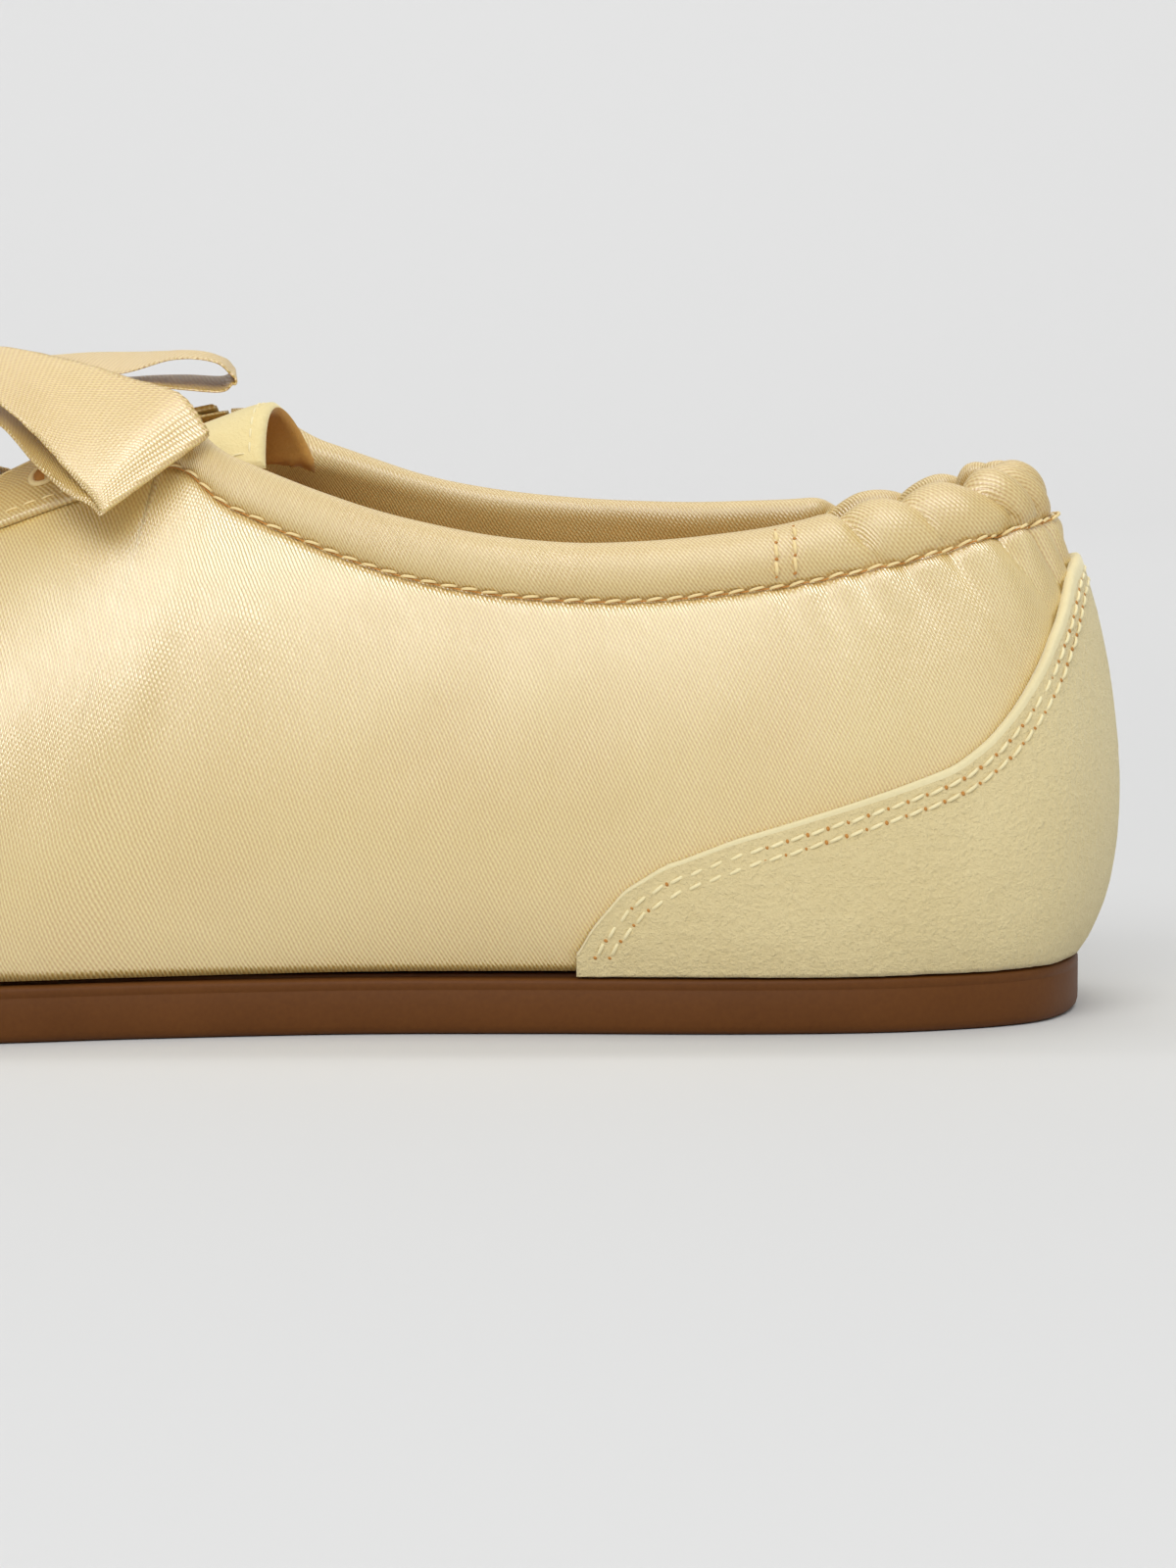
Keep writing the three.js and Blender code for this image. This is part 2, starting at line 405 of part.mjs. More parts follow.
// tails: flat ends of the ribbon that hang down each side of the instep
for (const [name, s, v] of [['ribbon_tail_lateral', -1, 9.85], ['ribbon_tail_medial', 1, 9.85]]) {
  const start = [KNOT[0] + 4.2, KNOT[1] + s * 5.6, KNOT[2] - 2.6];
  const path = curve([start, over(s, v, 7, 5.8), over(s, v - 0.05, 15, 3.2), over(s, v - 0.1, 24, 2.4), over(s, v - 0.15, 34, 2.4)], 12);
  band(name, path, table([[0, 3], [0.3, 7], [0.6, RIBBON / 2 - 0.6], [1, RIBBON / 2 - 0.6]]), () => 0.8, () => [0.97, 0, -0.2]);
}

export default root;
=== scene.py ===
# Ballet slipper: the fine surfaces, materials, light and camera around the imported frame.
import bpy, bmesh, math
import numpy as np
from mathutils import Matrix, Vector

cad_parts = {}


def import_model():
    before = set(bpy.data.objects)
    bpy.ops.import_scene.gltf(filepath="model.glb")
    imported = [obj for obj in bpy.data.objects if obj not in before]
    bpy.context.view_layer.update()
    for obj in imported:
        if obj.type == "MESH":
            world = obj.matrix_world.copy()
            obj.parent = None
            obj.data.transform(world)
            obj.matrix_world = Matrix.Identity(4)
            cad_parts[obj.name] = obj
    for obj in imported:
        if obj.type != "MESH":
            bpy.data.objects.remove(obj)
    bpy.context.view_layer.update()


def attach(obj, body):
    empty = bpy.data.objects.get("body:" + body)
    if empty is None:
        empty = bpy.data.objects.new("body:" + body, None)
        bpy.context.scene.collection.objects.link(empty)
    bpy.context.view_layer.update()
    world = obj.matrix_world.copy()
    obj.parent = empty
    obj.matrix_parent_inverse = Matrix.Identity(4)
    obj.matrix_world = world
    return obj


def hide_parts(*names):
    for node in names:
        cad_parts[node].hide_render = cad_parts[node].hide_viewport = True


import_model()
RNG = np.random.default_rng(7)

# ------------------------------------------------------------------ frame of the shoe
# h runs forward from the back edge of the sole, y across, z up, all in millimetres
CH, CY = 119.88, -1.848
SOLE_THICK, GAP, SUEDE, SATIN, PLY = 7.1, 0.3, 1.2, 0.8, 0.45
D_SATIN = SUEDE + PLY
D_LINING = D_SATIN + SATIN + PLY + 1.0 + PLY
CASING, BREAK, THROAT, VAMP = 9.0, 3.68, 8.0, 11.0
LAST = 15

def world(p):
    p = np.asarray(p, float)
    return np.stack([(CH - p[..., 0]) / 1000, (p[..., 1] - CY) / 1000, p[..., 2] / 1000], -1)

LAT = [[0,0,8,0,72.6,10.5,12.8,12,12,0],[3,-14,9.5,-8,72.5,9.5,12.8,11,12.5,0],[10,-23,14,-14.5,71.6,8,13,10,14,0],
 [25,-29.5,26,-20,68.5,6.2,14,8,17,0],[45,-31.5,44,-23,64.3,5.5,14,7,18,0],[70,-31,66,-24,62.8,5.5,14,7,18,0],
 [95,-31.5,88,-22.5,66.2,5.2,15,8,15,0],[120,-35.5,109,-17,73.9,4,17,12,9,0],[135,-39,119,-12.5,78.8,3.4,17,15,6,0],
 [150,-42,140,-9,70.6,3,16,19,4,-.2],[170,-43.5,158,-6,60,3,15,22,2.5,-.3],[190,-40.5,176,.5,51.5,3,14,23,1,-.42],
 [210,-34.5,188,1.5,46,3,13,22,.5,-.4],[228,-25.5,198,2.2,42,2.6,12,21,.3,-.36],[240,-13.5,204,2.8,40,2,12,20,0,-.34],
 [245,4.5,206,3,39.3,1.5,12,20,0,-.33]]
MED_Y = [0,14,23,29,30,27,26,29,32,35.5,39,39.5,37,31.5,21.5,4.5]
MED_TOP = [[8,0,72.6],[9.5,8,72.5],[14,14.5,71.6],[26,19.5,67.8],[44,21.5,66.4],[64,22,66.7],
 [82,20.5,69.2],[99,16.5,74.8],[112,12.8,79.4],[138,9,71.4],[157,6.5,60.8]]
RING = [list(r) for r in LAT]
for i in range(LAST - 1, 0, -1):
    r = list(LAT[i]); r[1] = MED_Y[i]
    if i < len(MED_TOP): r[2:5] = MED_TOP[i]
    RING.append(r)
RING = np.array(RING, float); N = len(RING)

def ring(u):
    u = np.asarray(u, float)
    i = np.floor(u).astype(int); f = (u - i)[..., None]
    a, b, c, d = (RING[(i + k) % N] for k in (-1, 0, 1, 2))
    return b + 0.5 * f * (c - a + f * (2 * a - 5 * b + 4 * c - d + f * (3 * (b - c) + d - a)))

def station(u):
    w = np.mod(u, N); return np.where(w <= LAST, w, N - w)

def lasted(u, t):
    u, t = np.broadcast_arrays(np.asarray(u, float), np.asarray(t, float))
    e = 0.02; R = ring(u); d = ring(u + e) - ring(u - e)
    l = np.hypot(d[..., 0], d[..., 1]); nh, ny = d[..., 1] / l, -d[..., 0] / l
    spring = np.where(R[..., 0] > 195, 3 * ((R[..., 0] - 195) / 50) ** 2, 0)
    F = np.stack([R[..., 0], R[..., 1], SOLE_THICK + GAP + spring], -1)
    T = R[..., 2:5].copy()
    v = np.where(u <= LAST, u, N - u); m = (v >= VAMP) & (u > 0)
    if m.any():
        T[m] = (ring(v[m])[..., 2:5] + ring(N - v[m])[..., 2:5]) / 2
    P1 = F + np.stack([nh * R[..., 5], ny * R[..., 5], R[..., 6]], -1)
    P2 = T + np.stack([nh * R[..., 7], ny * R[..., 7], R[..., 7] * nh * R[..., 9] - R[..., 8]], -1)
    s = 1 - t; k = lambda x: x[..., None]
    return k(s**3) * F + k(3*s*s*t) * P1 + k(3*s*t*t) * P2 + k(t**3) * T

def unit(v):
    return v / np.maximum(np.linalg.norm(v, axis=-1, keepdims=True), 1e-9)

def raw_normal(u, t):
    e = 0.01
    du = lasted(u + e, t) - lasted(u - e, t)
    dt = lasted(u, np.minimum(1, t + e)) - lasted(u, np.maximum(0, t - e))
    return unit(np.cross(du, dt))

def normal(u, t):
    u, t = np.broadcast_arrays(np.asarray(u, float), np.asarray(t, float))
    n = raw_normal(u, t)
    v = np.where(u <= LAST, u, N - u)
    m = (u >= 0) & (t > 0.85) & (v >= VAMP)
    if m.any():
        g = ring(np.maximum(v[m], VAMP))[..., 9]
        crest = unit(np.stack([-g, 0 * g, 1 + 0 * g], -1))
        base = raw_normal(u[m], np.minimum(t[m], 0.94))
        k = ((t[m] - 0.85) / 0.15)[..., None]
        n[m] = np.where(t[m][..., None] > 0.9999, crest, unit(base + (crest - base) * k))
    return n

def at(u, t, depth=0.0):
    """Point of the upper, depth millimetres under the outer lasted surface."""
    return lasted(u, t) - normal(u, t) * np.asarray(depth, float)[..., None] if np.ndim(depth) else lasted(u, t) - normal(u, t) * depth

_TS = np.linspace(0, 1, 161)
def t_below(u, s):
    """Height of the point s millimetres under the top line, for arrays u and s of one shape."""
    u, s = np.broadcast_arrays(np.asarray(u, float), np.asarray(s, float))
    shape = u.shape; u = u.ravel(); s = s.ravel(); out = np.empty(u.shape)
    uu, inv = np.unique(u, return_inverse=True)
    P = lasted(uu[:, None], _TS[None, ::-1])
    L = np.concatenate([np.zeros((len(uu), 1)), np.cumsum(np.linalg.norm(np.diff(P, axis=1), axis=-1), 1)], 1)
    for i in range(len(uu)):
        m = inv == i; out[m] = np.interp(s[m], L[i], _TS[::-1])
    return out.reshape(shape)

def t_at_z(u, z):
    u = np.asarray(u, float); P = lasted(u[:, None], _TS[None, :])[..., 2]
    return np.array([np.interp(zz, np.maximum.accumulate(p), _TS) for zz, p in zip(np.broadcast_to(z, u.shape), P)])

def table(rows):
    a = np.array(rows, float); return lambda x: np.interp(x, a[:, 0], a[:, 1])

def smooth_table(rows):
    """Monotone knots joined by a smooth curve."""
    a = np.array(rows, float); xs = np.linspace(a[0, 0], a[-1, 0], 400); ys = np.interp(xs, a[:, 0], a[:, 1])
    k = np.hanning(23); k /= k.sum(); pad = np.pad(ys, 11, mode="reflect", reflect_type="odd")
    ys = np.convolve(pad, k, "valid"); return lambda x: np.interp(x, xs, ys)

def sstep(a, b, x):
    f = np.clip((x - a) / (b - a), 0, 1); return f * f * (3 - 2 * f)

def value_noise(x, y, seed=0):
    """Smooth, repeatable noise from -1 to 1."""
    g = np.random.default_rng(seed).uniform(-1, 1, (64, 64))
    xi, yi = np.floor(x).astype(int), np.floor(y).astype(int)
    fx, fy = x - xi, y - yi; fx = fx*fx*(3-2*fx); fy = fy*fy*(3-2*fy)
    q = lambda i, j: g[(xi + i) % 64, (yi + j) % 64]
    return (q(0,0)*(1-fx)+q(1,0)*fx)*(1-fy) + (q(0,1)*(1-fx)+q(1,1)*fx)*fy

# ------------------------------------------------------------------ materials
def lin(rgb):
    c = np.array(rgb, float) / 255
    return tuple(np.where(c <= 0.04045, c / 12.92, ((c + 0.055) / 1.055) ** 2.4)) + (1.0,)

class Mat:
    def __init__(self, name, rgb, rough, sheen=0, sheen_tint=(255, 255, 255), spec=0.5, sheen_rough=0.5, aniso=0, coat=0, sss=0):
        self.m = bpy.data.materials.new(name); self.m.use_nodes = True
        nt = self.nt = self.m.node_tree; self.b = nt.nodes["Principled BSDF"]; b = self.b.inputs
        b["Base Color"].default_value = lin(rgb); b["Roughness"].default_value = rough
        b["Specular IOR Level"].default_value = spec
        b["Sheen Weight"].default_value = sheen; b["Sheen Roughness"].default_value = sheen_rough
        b["Sheen Tint"].default_value = lin(sheen_tint); b["Anisotropic"].default_value = aniso
        b["Coat Weight"].default_value = coat
        self.m.diffuse_color = lin(rgb)
    def n(self, kind, **kw):
        x = self.nt.nodes.new(kind)
        for k, v in kw.items():
            if k in x.inputs: x.inputs[k].default_value = v
            else: setattr(x, k, v)
        return x
    def l(self, a, b): self.nt.links.new(a, b)
    def math(self, op, a, b=None, c=None):
        x = self.n("ShaderNodeMath", operation=op)
        for i, v in enumerate((a, b, c)):
            if v is None: continue
            if isinstance(v, (int, float)): x.inputs[i].default_value = v
            else: self.l(v, x.inputs[i])
        return x.outputs[0]
    def cloth(self):
        """Position on the cloth, in millimetres: along and up."""
        a = self.n("ShaderNodeAttribute", attribute_name="cloth")
        s = self.n("ShaderNodeSeparateXYZ"); self.l(a.outputs["Vector"], s.inputs[0])
        return s.outputs[0], s.outputs[1], a.outputs["Vector"]
    def obj(self):
        return self.n("ShaderNodeTexCoord").outputs["Object"]
    def noise(self, vec, scale, detail=2.0, rough=0.5):
        x = self.n("ShaderNodeTexNoise"); x.inputs["Scale"].default_value = scale
        x.inputs["Detail"].default_value = detail; x.inputs["Roughness"].default_value = rough
        self.l(vec, x.inputs["Vector"]); return x.outputs["Fac"]
    def ramp(self, fac, stops):
        x = self.n("ShaderNodeValToRGB"); self.l(fac, x.inputs[0]); r = x.color_ramp
        while len(r.elements) < len(stops): r.elements.new(0.5)
        for e, (p, c) in zip(r.elements, stops): e.position = p; e.color = lin(c)
        return x.outputs[0]
    def bump(self, height, dist, strength=1.0, chain=None):
        x = self.n("ShaderNodeBump"); x.inputs["Distance"].default_value = dist; x.inputs["Strength"].default_value = strength
        self.l(height, x.inputs["Height"])
        if chain: self.l(chain, x.inputs["Normal"])
        return x.outputs[0]
    def done(self, normal=None, color=None, rough=None):
        if normal: self.l(normal, self.b.inputs["Normal"])
        if color: self.l(color, self.b.inputs["Base Color"])
        if rough: self.l(rough, self.b.inputs["Roughness"])
        return self.m

def satin_like(name, rgb_lo, rgb_hi, pitch, angle, rough=0.34, sheen=0.1, dist=0.000028, cross=0.4, fleck=0.36, ior=2.15, selvage=False):
    """Satin: fine slanted twill lines broken into floats, with slight variation from thread to thread."""
    m = Mat(name, rgb_hi, rough, sheen=sheen, sheen_tint=(255, 246, 222), sheen_rough=0.4, spec=1.0)
    m.b.inputs["IOR"].default_value = ior
    a, b, vec = m.cloth()
    c, s = math.cos(math.radians(angle)), math.sin(math.radians(angle))
    across = m.math("SUBTRACT", m.math("MULTIPLY", a, s), m.math("MULTIPLY", b, c))
    along = m.math("ADD", m.math("MULTIPLY", a, c), m.math("MULTIPLY", b, s))
    warp = m.math("MULTIPLY", m.noise(vec, 0.25, 2.0), 0.5)
    across = m.math("ADD", across, warp)
    line = m.math("SINE", m.math("MULTIPLY", across, 2 * math.pi / pitch))
    shift = m.math("MULTIPLY", m.math("FLOOR", m.math("DIVIDE", across, pitch)), 2.4)
    fl = m.math("SINE", m.math("ADD", m.math("MULTIPLY", along, 2 * math.pi / (pitch * 1.9)), shift))
    weave = m.math("ADD", line, m.math("MULTIPLY", fl, cross))
    nz = m.noise(vec, 2.2, 3.0, 0.6)
    big = m.noise(vec, 0.045, 2.0)
    h = m.math("ADD", weave, m.math("MULTIPLY", nz, 0.8))
    if selvage:
        edge = m.math("GREATER_THAN", m.math("ABSOLUTE", m.math("SUBTRACT", b, 9.0)), 8.25)
        rib = m.math("MULTIPLY", m.math("SINE", m.math("MULTIPLY", a, 2 * math.pi / 0.66)), edge)
        h = m.math("ADD", h, m.math("MULTIPLY", rib, 1.6))
    nrm = m.bump(h, dist)
    fac = m.math("ADD", m.math("MULTIPLY", weave, fleck), m.math("ADD", m.math("MULTIPLY", nz, 0.35), m.math("MULTIPLY", big, 0.35)))
    col = m.ramp(m.math("ADD", fac, 0.2), [(0.0, rgb_lo), (1.0, rgb_hi)])
    r = m.math("ADD", rough - 0.05, m.math("MULTIPLY", nz, 0.1))
    return m.done(nrm, col, r)

def suede_like(name, rgb_lo, rgb_hi, dist=0.00010):
    m = Mat(name, rgb_hi, 0.95, sheen=0.55, sheen_tint=(255, 250, 226), sheen_rough=0.45, spec=0.15)
    v = m.obj()
    fine, mid, big = m.noise(v, 2600, 3.0, 0.65), m.noise(v, 1100, 3.0, 0.6), m.noise(v, 60, 2.0)
    h = m.math("ADD", m.math("MULTIPLY", fine, 0.7), m.math("MULTIPLY", mid, 0.8))
    nrm = m.bump(h, dist)
    fac = m.math("ADD", m.math("MULTIPLY", fine, 0.35), m.math("ADD", m.math("MULTIPLY", mid, 0.3), m.math("MULTIPLY", big, 0.35)))
    return m.done(nrm, m.ramp(fac, [(0.25, rgb_lo), (0.75, rgb_hi)]))

M = {}
M["satin"] = satin_like("satin", (204, 156, 62), (242, 220, 144), 0.42, 62, rough=0.33)
M["casing"] = satin_like("satin_collar", (192, 146, 58), (228, 204, 130), 0.42, 56, rough=0.42, ior=1.9)
M["ribbon"] = satin_like("ribbon_satin", (202, 150, 46), (234, 204, 110), 0.40, 28, rough=0.34, cross=0.8, dist=0.000028, selvage=True)
# painted shade: the lining's deep saturated gold stands in for the shade and golden interreflection inside the shoe
M["lining"] = satin_like("lining_cloth_painted_shade", (214, 150, 54), (232, 176, 80), 0.45, 0, rough=0.6, dist=0.00002, ior=1.35)
M["suede"] = suede_like("suede", (220, 200, 148), (238, 221, 172), 0.00045)
M["tongue"] = suede_like("tongue_suede", (230, 210, 150), (242, 226, 174), 0.00018)
# painted shade: the tongue's underside is a darker orange copy of the suede, standing in for the shade under the tongue
M["tongue_in"] = suede_like("tongue_underside_painted_shade", (214, 158, 74), (230, 180, 98), 0.0001)
def plain(name, lo, hi, rough, scale, dist, sheen=0.0, spec=0.5):
    m = Mat(name, hi, rough, sheen=sheen, spec=spec); v = m.obj()
    n = m.noise(v, scale, 3.0, 0.6); big = m.noise(v, scale / 25, 2.0)
    fac = m.math("ADD", m.math("MULTIPLY", n, 0.5), m.math("MULTIPLY", big, 0.5))
    return m.done(m.bump(n, dist), m.ramp(fac, [(0.3, lo), (0.7, hi)]), m.math("ADD", rough - 0.05, m.math("MULTIPLY", big, 0.1)))
M["rubber"] = plain("gum_rubber", (92, 52, 15), (104, 61, 21), 0.55, 1500, 0.00002, spec=0.2)
M["thread"] = plain("sewing_thread", (232, 204, 140), (248, 226, 168), 0.6, 6000, 0.00003, sheen=0.2)
# painted shade: this darker brown stands in for the shade inside needle holes and in the collar seam groove
M["hole"] = plain("needle_hole_painted_shade", (190, 128, 58), (206, 144, 70), 0.9, 2000, 0.00001)
M["footbed"] = plain("sock_leather", (222, 196, 138), (232, 208, 150), 0.7, 1200, 0.00006)
M["board"] = plain("fibre_board", (190, 172, 136), (205, 190, 156), 0.9, 1800, 0.00005)
M["elastic"] = plain("elastic_tape", (228, 220, 200), (242, 236, 220), 0.85, 2500, 0.00005)

# ------------------------------------------------------------------ mesh helpers
def make(name, verts, faces, mat, cloth=None, body="upper", slot=None, smooth=True, merge=False):
    """verts in shoe millimetres; cloth holds each vertex's place on the cloth in millimetres."""
    me = bpy.data.meshes.new(name)
    me.from_pydata([tuple(v) for v in world(np.asarray(verts))], [], [tuple(int(i) for i in f) for f in faces])
    if cloth is not None:
        c = np.zeros((len(verts), 3), np.float32); c[:, :2] = np.asarray(cloth)
        me.attributes.new("cloth", "FLOAT_VECTOR", "POINT").data.foreach_set("vector", c.ravel())
    me.materials.append(M[mat])
    bm = bmesh.new(); bm.from_mesh(me)
    if merge: bmesh.ops.remove_doubles(bm, verts=bm.verts, dist=2e-6)
    bmesh.ops.recalc_face_normals(bm, faces=bm.faces)
    if bm.calc_volume(signed=True) < 0: bmesh.ops.reverse_faces(bm, faces=bm.faces)
    bm.to_mesh(me); bm.free()
    if smooth: me.polygons.foreach_set("use_smooth", [True] * len(me.polygons))
    o = bpy.data.objects.new(name, me); bpy.context.scene.collection.objects.link(o)
    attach(o, body)
    return o

def arc(P, axis):
    d = np.linalg.norm(np.diff(P, axis=axis), axis=-1)
    z = np.zeros_like(np.take(d, [0], axis=axis)); return np.concatenate([z, np.cumsum(d, axis=axis)], axis=axis)

def shell(name, P, Q, mat, ridge=False, cloth=None, **kw):
    """Closed shell between the outer grid P and the inner grid Q (columns x rows x 3)."""
    nc, nr = P.shape[:2]
    V = np.concatenate([P.reshape(-1, 3), Q.reshape(-1, 3)])
    if cloth is None:
        a = arc(P, 0); a = np.repeat(a[:, nr // 2][:, None], nr, 1); b = arc(P, 1); cloth = np.stack([a, b], -1)
    C = np.concatenate([cloth.reshape(-1, 2)] * 2)
    I = np.arange(nc * nr).reshape(nc, nr); J = I + nc * nr
    q = lambda a, b, c, d: np.stack([a.ravel(), b.ravel(), c.ravel(), d.ravel()], 1)
    F = [q(I[:-1, :-1], I[1:, :-1], I[1:, 1:], I[:-1, 1:]), q(J[:-1, :-1], J[:-1, 1:], J[1:, 1:], J[1:, :-1]),
         q(I[:-1, 0], J[:-1, 0], J[1:, 0], I[1:, 0]), q(I[0, :-1], I[0, 1:], J[0, 1:], J[0, :-1]),
         q(I[-1, :-1], J[-1, :-1], J[-1, 1:], I[-1, 1:])]
    if not ridge: F.append(q(I[:-1, -1], I[1:, -1], J[1:, -1], J[:-1, -1]))
    return make(name, V, np.concatenate(F), mat, cloth=C, merge=ridge, **kw)

def panel(name, us, lo, hi, rows, out, thick, mat, ridge=False, disp=None, edge=0.0, **kw):
    """Part of the upper. disp(u, t, s) lifts the surface outward; edge is not used."""
    us = np.asarray(us, float); lo = np.broadcast_to(lo(us), us.shape); hi = np.broadcast_to(hi(us), us.shape)
    f = np.linspace(0, 1, rows + 1)
    t = lo[:, None] + (hi - lo)[:, None] * f[None, :]
    U = np.repeat(us[:, None], rows + 1, 1)
    lift = disp(U, t) if disp is not None else np.zeros_like(t)
    P = lasted(U, t); n = normal(U, t)
    top = P - n * (out - lift)[..., None]; bot = P - n * (out + thick - lift)[..., None]
    if ridge: pass
    return shell(name, top, bot, mat, ridge=ridge, **kw), (U, t)

# ------------------------------------------------------------------ stage, light and camera
def cyclorama():
    w, y0, y1, r, top = 6.0, -5.0, 2.6, 1.2, 4.5
    prof = [(y0, 0.0), (y1 - r, 0.0)] + [(y1 - r + r * math.sin(a), r - r * math.cos(a)) for a in np.linspace(0, math.pi / 2, 17)[1:]] + [(y1, top)]
    v = [(x, y, z) for x in (-w, w) for y, z in prof]; n = len(prof)
    me = bpy.data.meshes.new("floor"); me.from_pydata(v, [], [(i, i + 1, n + i + 1, n + i) for i in range(n - 1)])
    me.polygons.foreach_set("use_smooth", [True] * len(me.polygons))
    o = bpy.data.objects.new("floor", me); bpy.context.scene.collection.objects.link(o)
    m = bpy.data.materials.new("paper"); m.use_nodes = True
    b = m.node_tree.nodes["Principled BSDF"].inputs
    b["Base Color"].default_value = lin((212, 212, 212)); b["Roughness"].default_value = 0.9; b["Specular IOR Level"].default_value = 0.1
    me.materials.append(m); return o
cyclorama()

def area(name, loc, target, size, power, color=(1, 1, 1)):
    d = bpy.data.lights.new(name, "AREA"); d.shape = "RECTANGLE"; d.size, d.size_y = size; d.energy = power; d.color = color
    o = bpy.data.objects.new(name, d); bpy.context.scene.collection.objects.link(o)
    o.location = loc; o.rotation_euler = (Vector(target) - Vector(loc)).to_track_quat("-Z", "Y").to_euler(); o.visible_camera = False
    return o
area("key_softbox", (-0.15, -1.1, 1.0), (0.0, 0.0, 0.03), (1.3, 0.7), 13.6)
area("top_softbox", (0.1, 0.3, 1.5), (0.0, 0.0, 0.03), (1.6, 1.2), 5.0)
area("side_softbox", (1.3, -0.2, 0.7), (0.05, 0.0, 0.04), (0.7, 0.9), 2.2, (0.93, 1.0, 0.95))
area("wall_light", (0.0, 0.9, 2.2), (0.0, 2.6, 0.9), (3.5, 0.8), 46)
w = bpy.data.worlds.new("studio"); bpy.context.scene.world = w; w.use_nodes = True
w.node_tree.nodes["Background"].inputs[0].default_value = (1, 1, 1, 1); w.node_tree.nodes["Background"].inputs[1].default_value = 0.37
sc = bpy.context.scene
sc.view_settings.view_transform = "Standard"; sc.view_settings.look = "None"; sc.view_settings.exposure = 0.0; sc.view_settings.gamma = 1.0

cd = bpy.data.cameras.new("camera"); cam = bpy.data.objects.new("camera", cd); sc.collection.objects.link(cam); sc.camera = cam
cd.sensor_width = 36; cd.sensor_fit = "AUTO"; cd.lens = 5480 * 36 / 1600; cd.clip_start = 0.05; cd.clip_end = 30
CAM_H, CAM_D, CAM_Z, PITCH, YAW = 64.5, 703.0, 95.0, math.atan(515 / 5480), 0.0
cam.location = (float((CH - CAM_H) / 1000), float((-CAM_D - CY) / 1000), CAM_Z / 1000)
cam.rotation_euler = (math.pi / 2 - PITCH, 0, -YAW)

# ------------------------------------------------------------------ shared shapes of the upper
def spans(a, b, n): return np.linspace(a, b, n + 1)
def kscale(u): return np.interp(station(u), [0, 3, 4, 5, 6, 7, 8], [1.02, 1.02, 0.9, 0.87, 0.92, 1.0, 1.08])
def wrap(u): return np.mod(np.asarray(u, float) + N / 2, N) - N / 2
_gu = np.linspace(-8.2, 8.2, 3281)
_gl = np.concatenate([[0], np.cumsum(np.linalg.norm(np.diff(lasted(_gu, 1.0), axis=0), axis=1))]); _gl -= np.interp(0, _gu, _gl)
def top_arc(u): return np.interp(wrap(u), _gu, _gl)
GL = (top_arc(BREAK) - top_arc(-BREAK)) / 2
_pl = np.linspace(0, 90, 901)
_ph = np.interp(_pl, [0, 6.3, 12.5, 18.5, 27.5, 36.5, 44, 52, 90], np.array([0, 1, 2, 3, 4, 5, 6, 7, 11.7]) * 2 * math.pi)
_ph = np.convolve(np.pad(_ph, 15, mode="reflect", reflect_type="odd"), np.hanning(33)[1:-1] / np.hanning(33).sum(), "valid")
def fold_phase(u, s):
    """Phase of the gathers: s runs down the outside from the top edge, negative over the top and inside."""
    L = top_arc(u); a = np.sqrt(L * L + 4) + 0.42 * s
    ph = np.interp(np.abs(a), _pl, _ph) * np.sign(a)
    return ph + 0.8 * value_noise(np.asarray(L * 0.09 + 20), np.asarray(s * 0.03 + 5), 3) 
def gathered(u): v = station(u); return sstep(BREAK + 0.02, BREAK - 0.55, v)
def gather_amp(u):
    L = np.abs(top_arc(u)); return gathered(u) * np.interp(L, [0, 14, 20, 24, 31, 36, 42], [2.1, 2.1, 1.9, 1.0, 0.95, 1.7, 0.8])

def wrinkle(u, t):
    """Lift of the quarter under the collar: folds that start at the gathers and die out downward."""
    v = station(u); z = np.zeros(np.broadcast(u, t).shape)
    m = (v < 5.2) & (t > 0.45)
    if not m.any(): return z
    u, t = np.broadcast_arrays(u, t); s = drop(u[m], t[m]); vm = v[m] if v.shape == m.shape else np.broadcast_to(v, m.shape)[m]
    e = s - 9.3 * kscale(u[m])
    ph = fold_phase(u[m], s * 0.85)
    near = np.interp(vm, [0, 1.9, 2.4, 3.0, 3.7, 4.2], [1.0, 1.0, 0.55, 0.35, 0.22, 0]); reach = 4.5 + 4.5 * sstep(3.2, 1.4, vm)
    fold = (np.abs(np.sin(ph * 0.75 + 0.9)) ** 0.85 - 0.6) * np.exp(-(np.maximum(e, 0) / reach) ** 1.5)
    z[m] = 2.3 * near * fold
    return z
def drop(u, t):
    """Distance under the top line of the points (u, t)."""
    k = np.linspace(0, 1, 25); tt = t[..., None] + (1 - t[..., None]) * k
    P = lasted(np.repeat(u[..., None], 25, -1), tt); return np.linalg.norm(np.diff(P, axis=-2), axis=-1).sum(-1)

def broad(u, t, seed=1, amp=0.28):
    """Slow unevenness that any hand-lasted cloth keeps."""
    v = wrap(u); return amp * value_noise(v * 1.1 + 30, t * 3.2 + 8, seed) + 0.4 * amp * value_noise(v * 2.9 + 50, t * 6.5 + 3, seed + 1)

def grid_panel(name, us, ts, out, thick, mat, lift=None, ridge=False, curl=None, **kw):
    """us: columns, ts: columns x rows. curl is not used."""
    U = np.repeat(np.asarray(us, float)[:, None], ts.shape[1], 1)
    P = lasted(U, ts); n = normal(U, ts)
    d = np.full(ts.shape, float(out)) if np.ndim(out) == 0 else out
    if lift is not None: d = d - lift(U, ts)
    inner = np.full(ts.shape, float(out if np.ndim(out) == 0 else np.median(out)) + thick) - (lift(U, ts) * 0.8 if lift is not None else 0)
    inner = np.maximum(inner, d + 0.12)
    half = lasted(np.asarray(us, float), 0.5); along = np.concatenate([[0], np.cumsum(np.linalg.norm(np.diff(half, axis=0), axis=1))])
    cl = np.stack([np.repeat(along[:, None], ts.shape[1], 1), arc(P, 1)], -1)
    return shell(name, P - n * d[..., None], P - n * inner[..., None], mat, ridge=ridge, cloth=cl, **kw), U, P, n

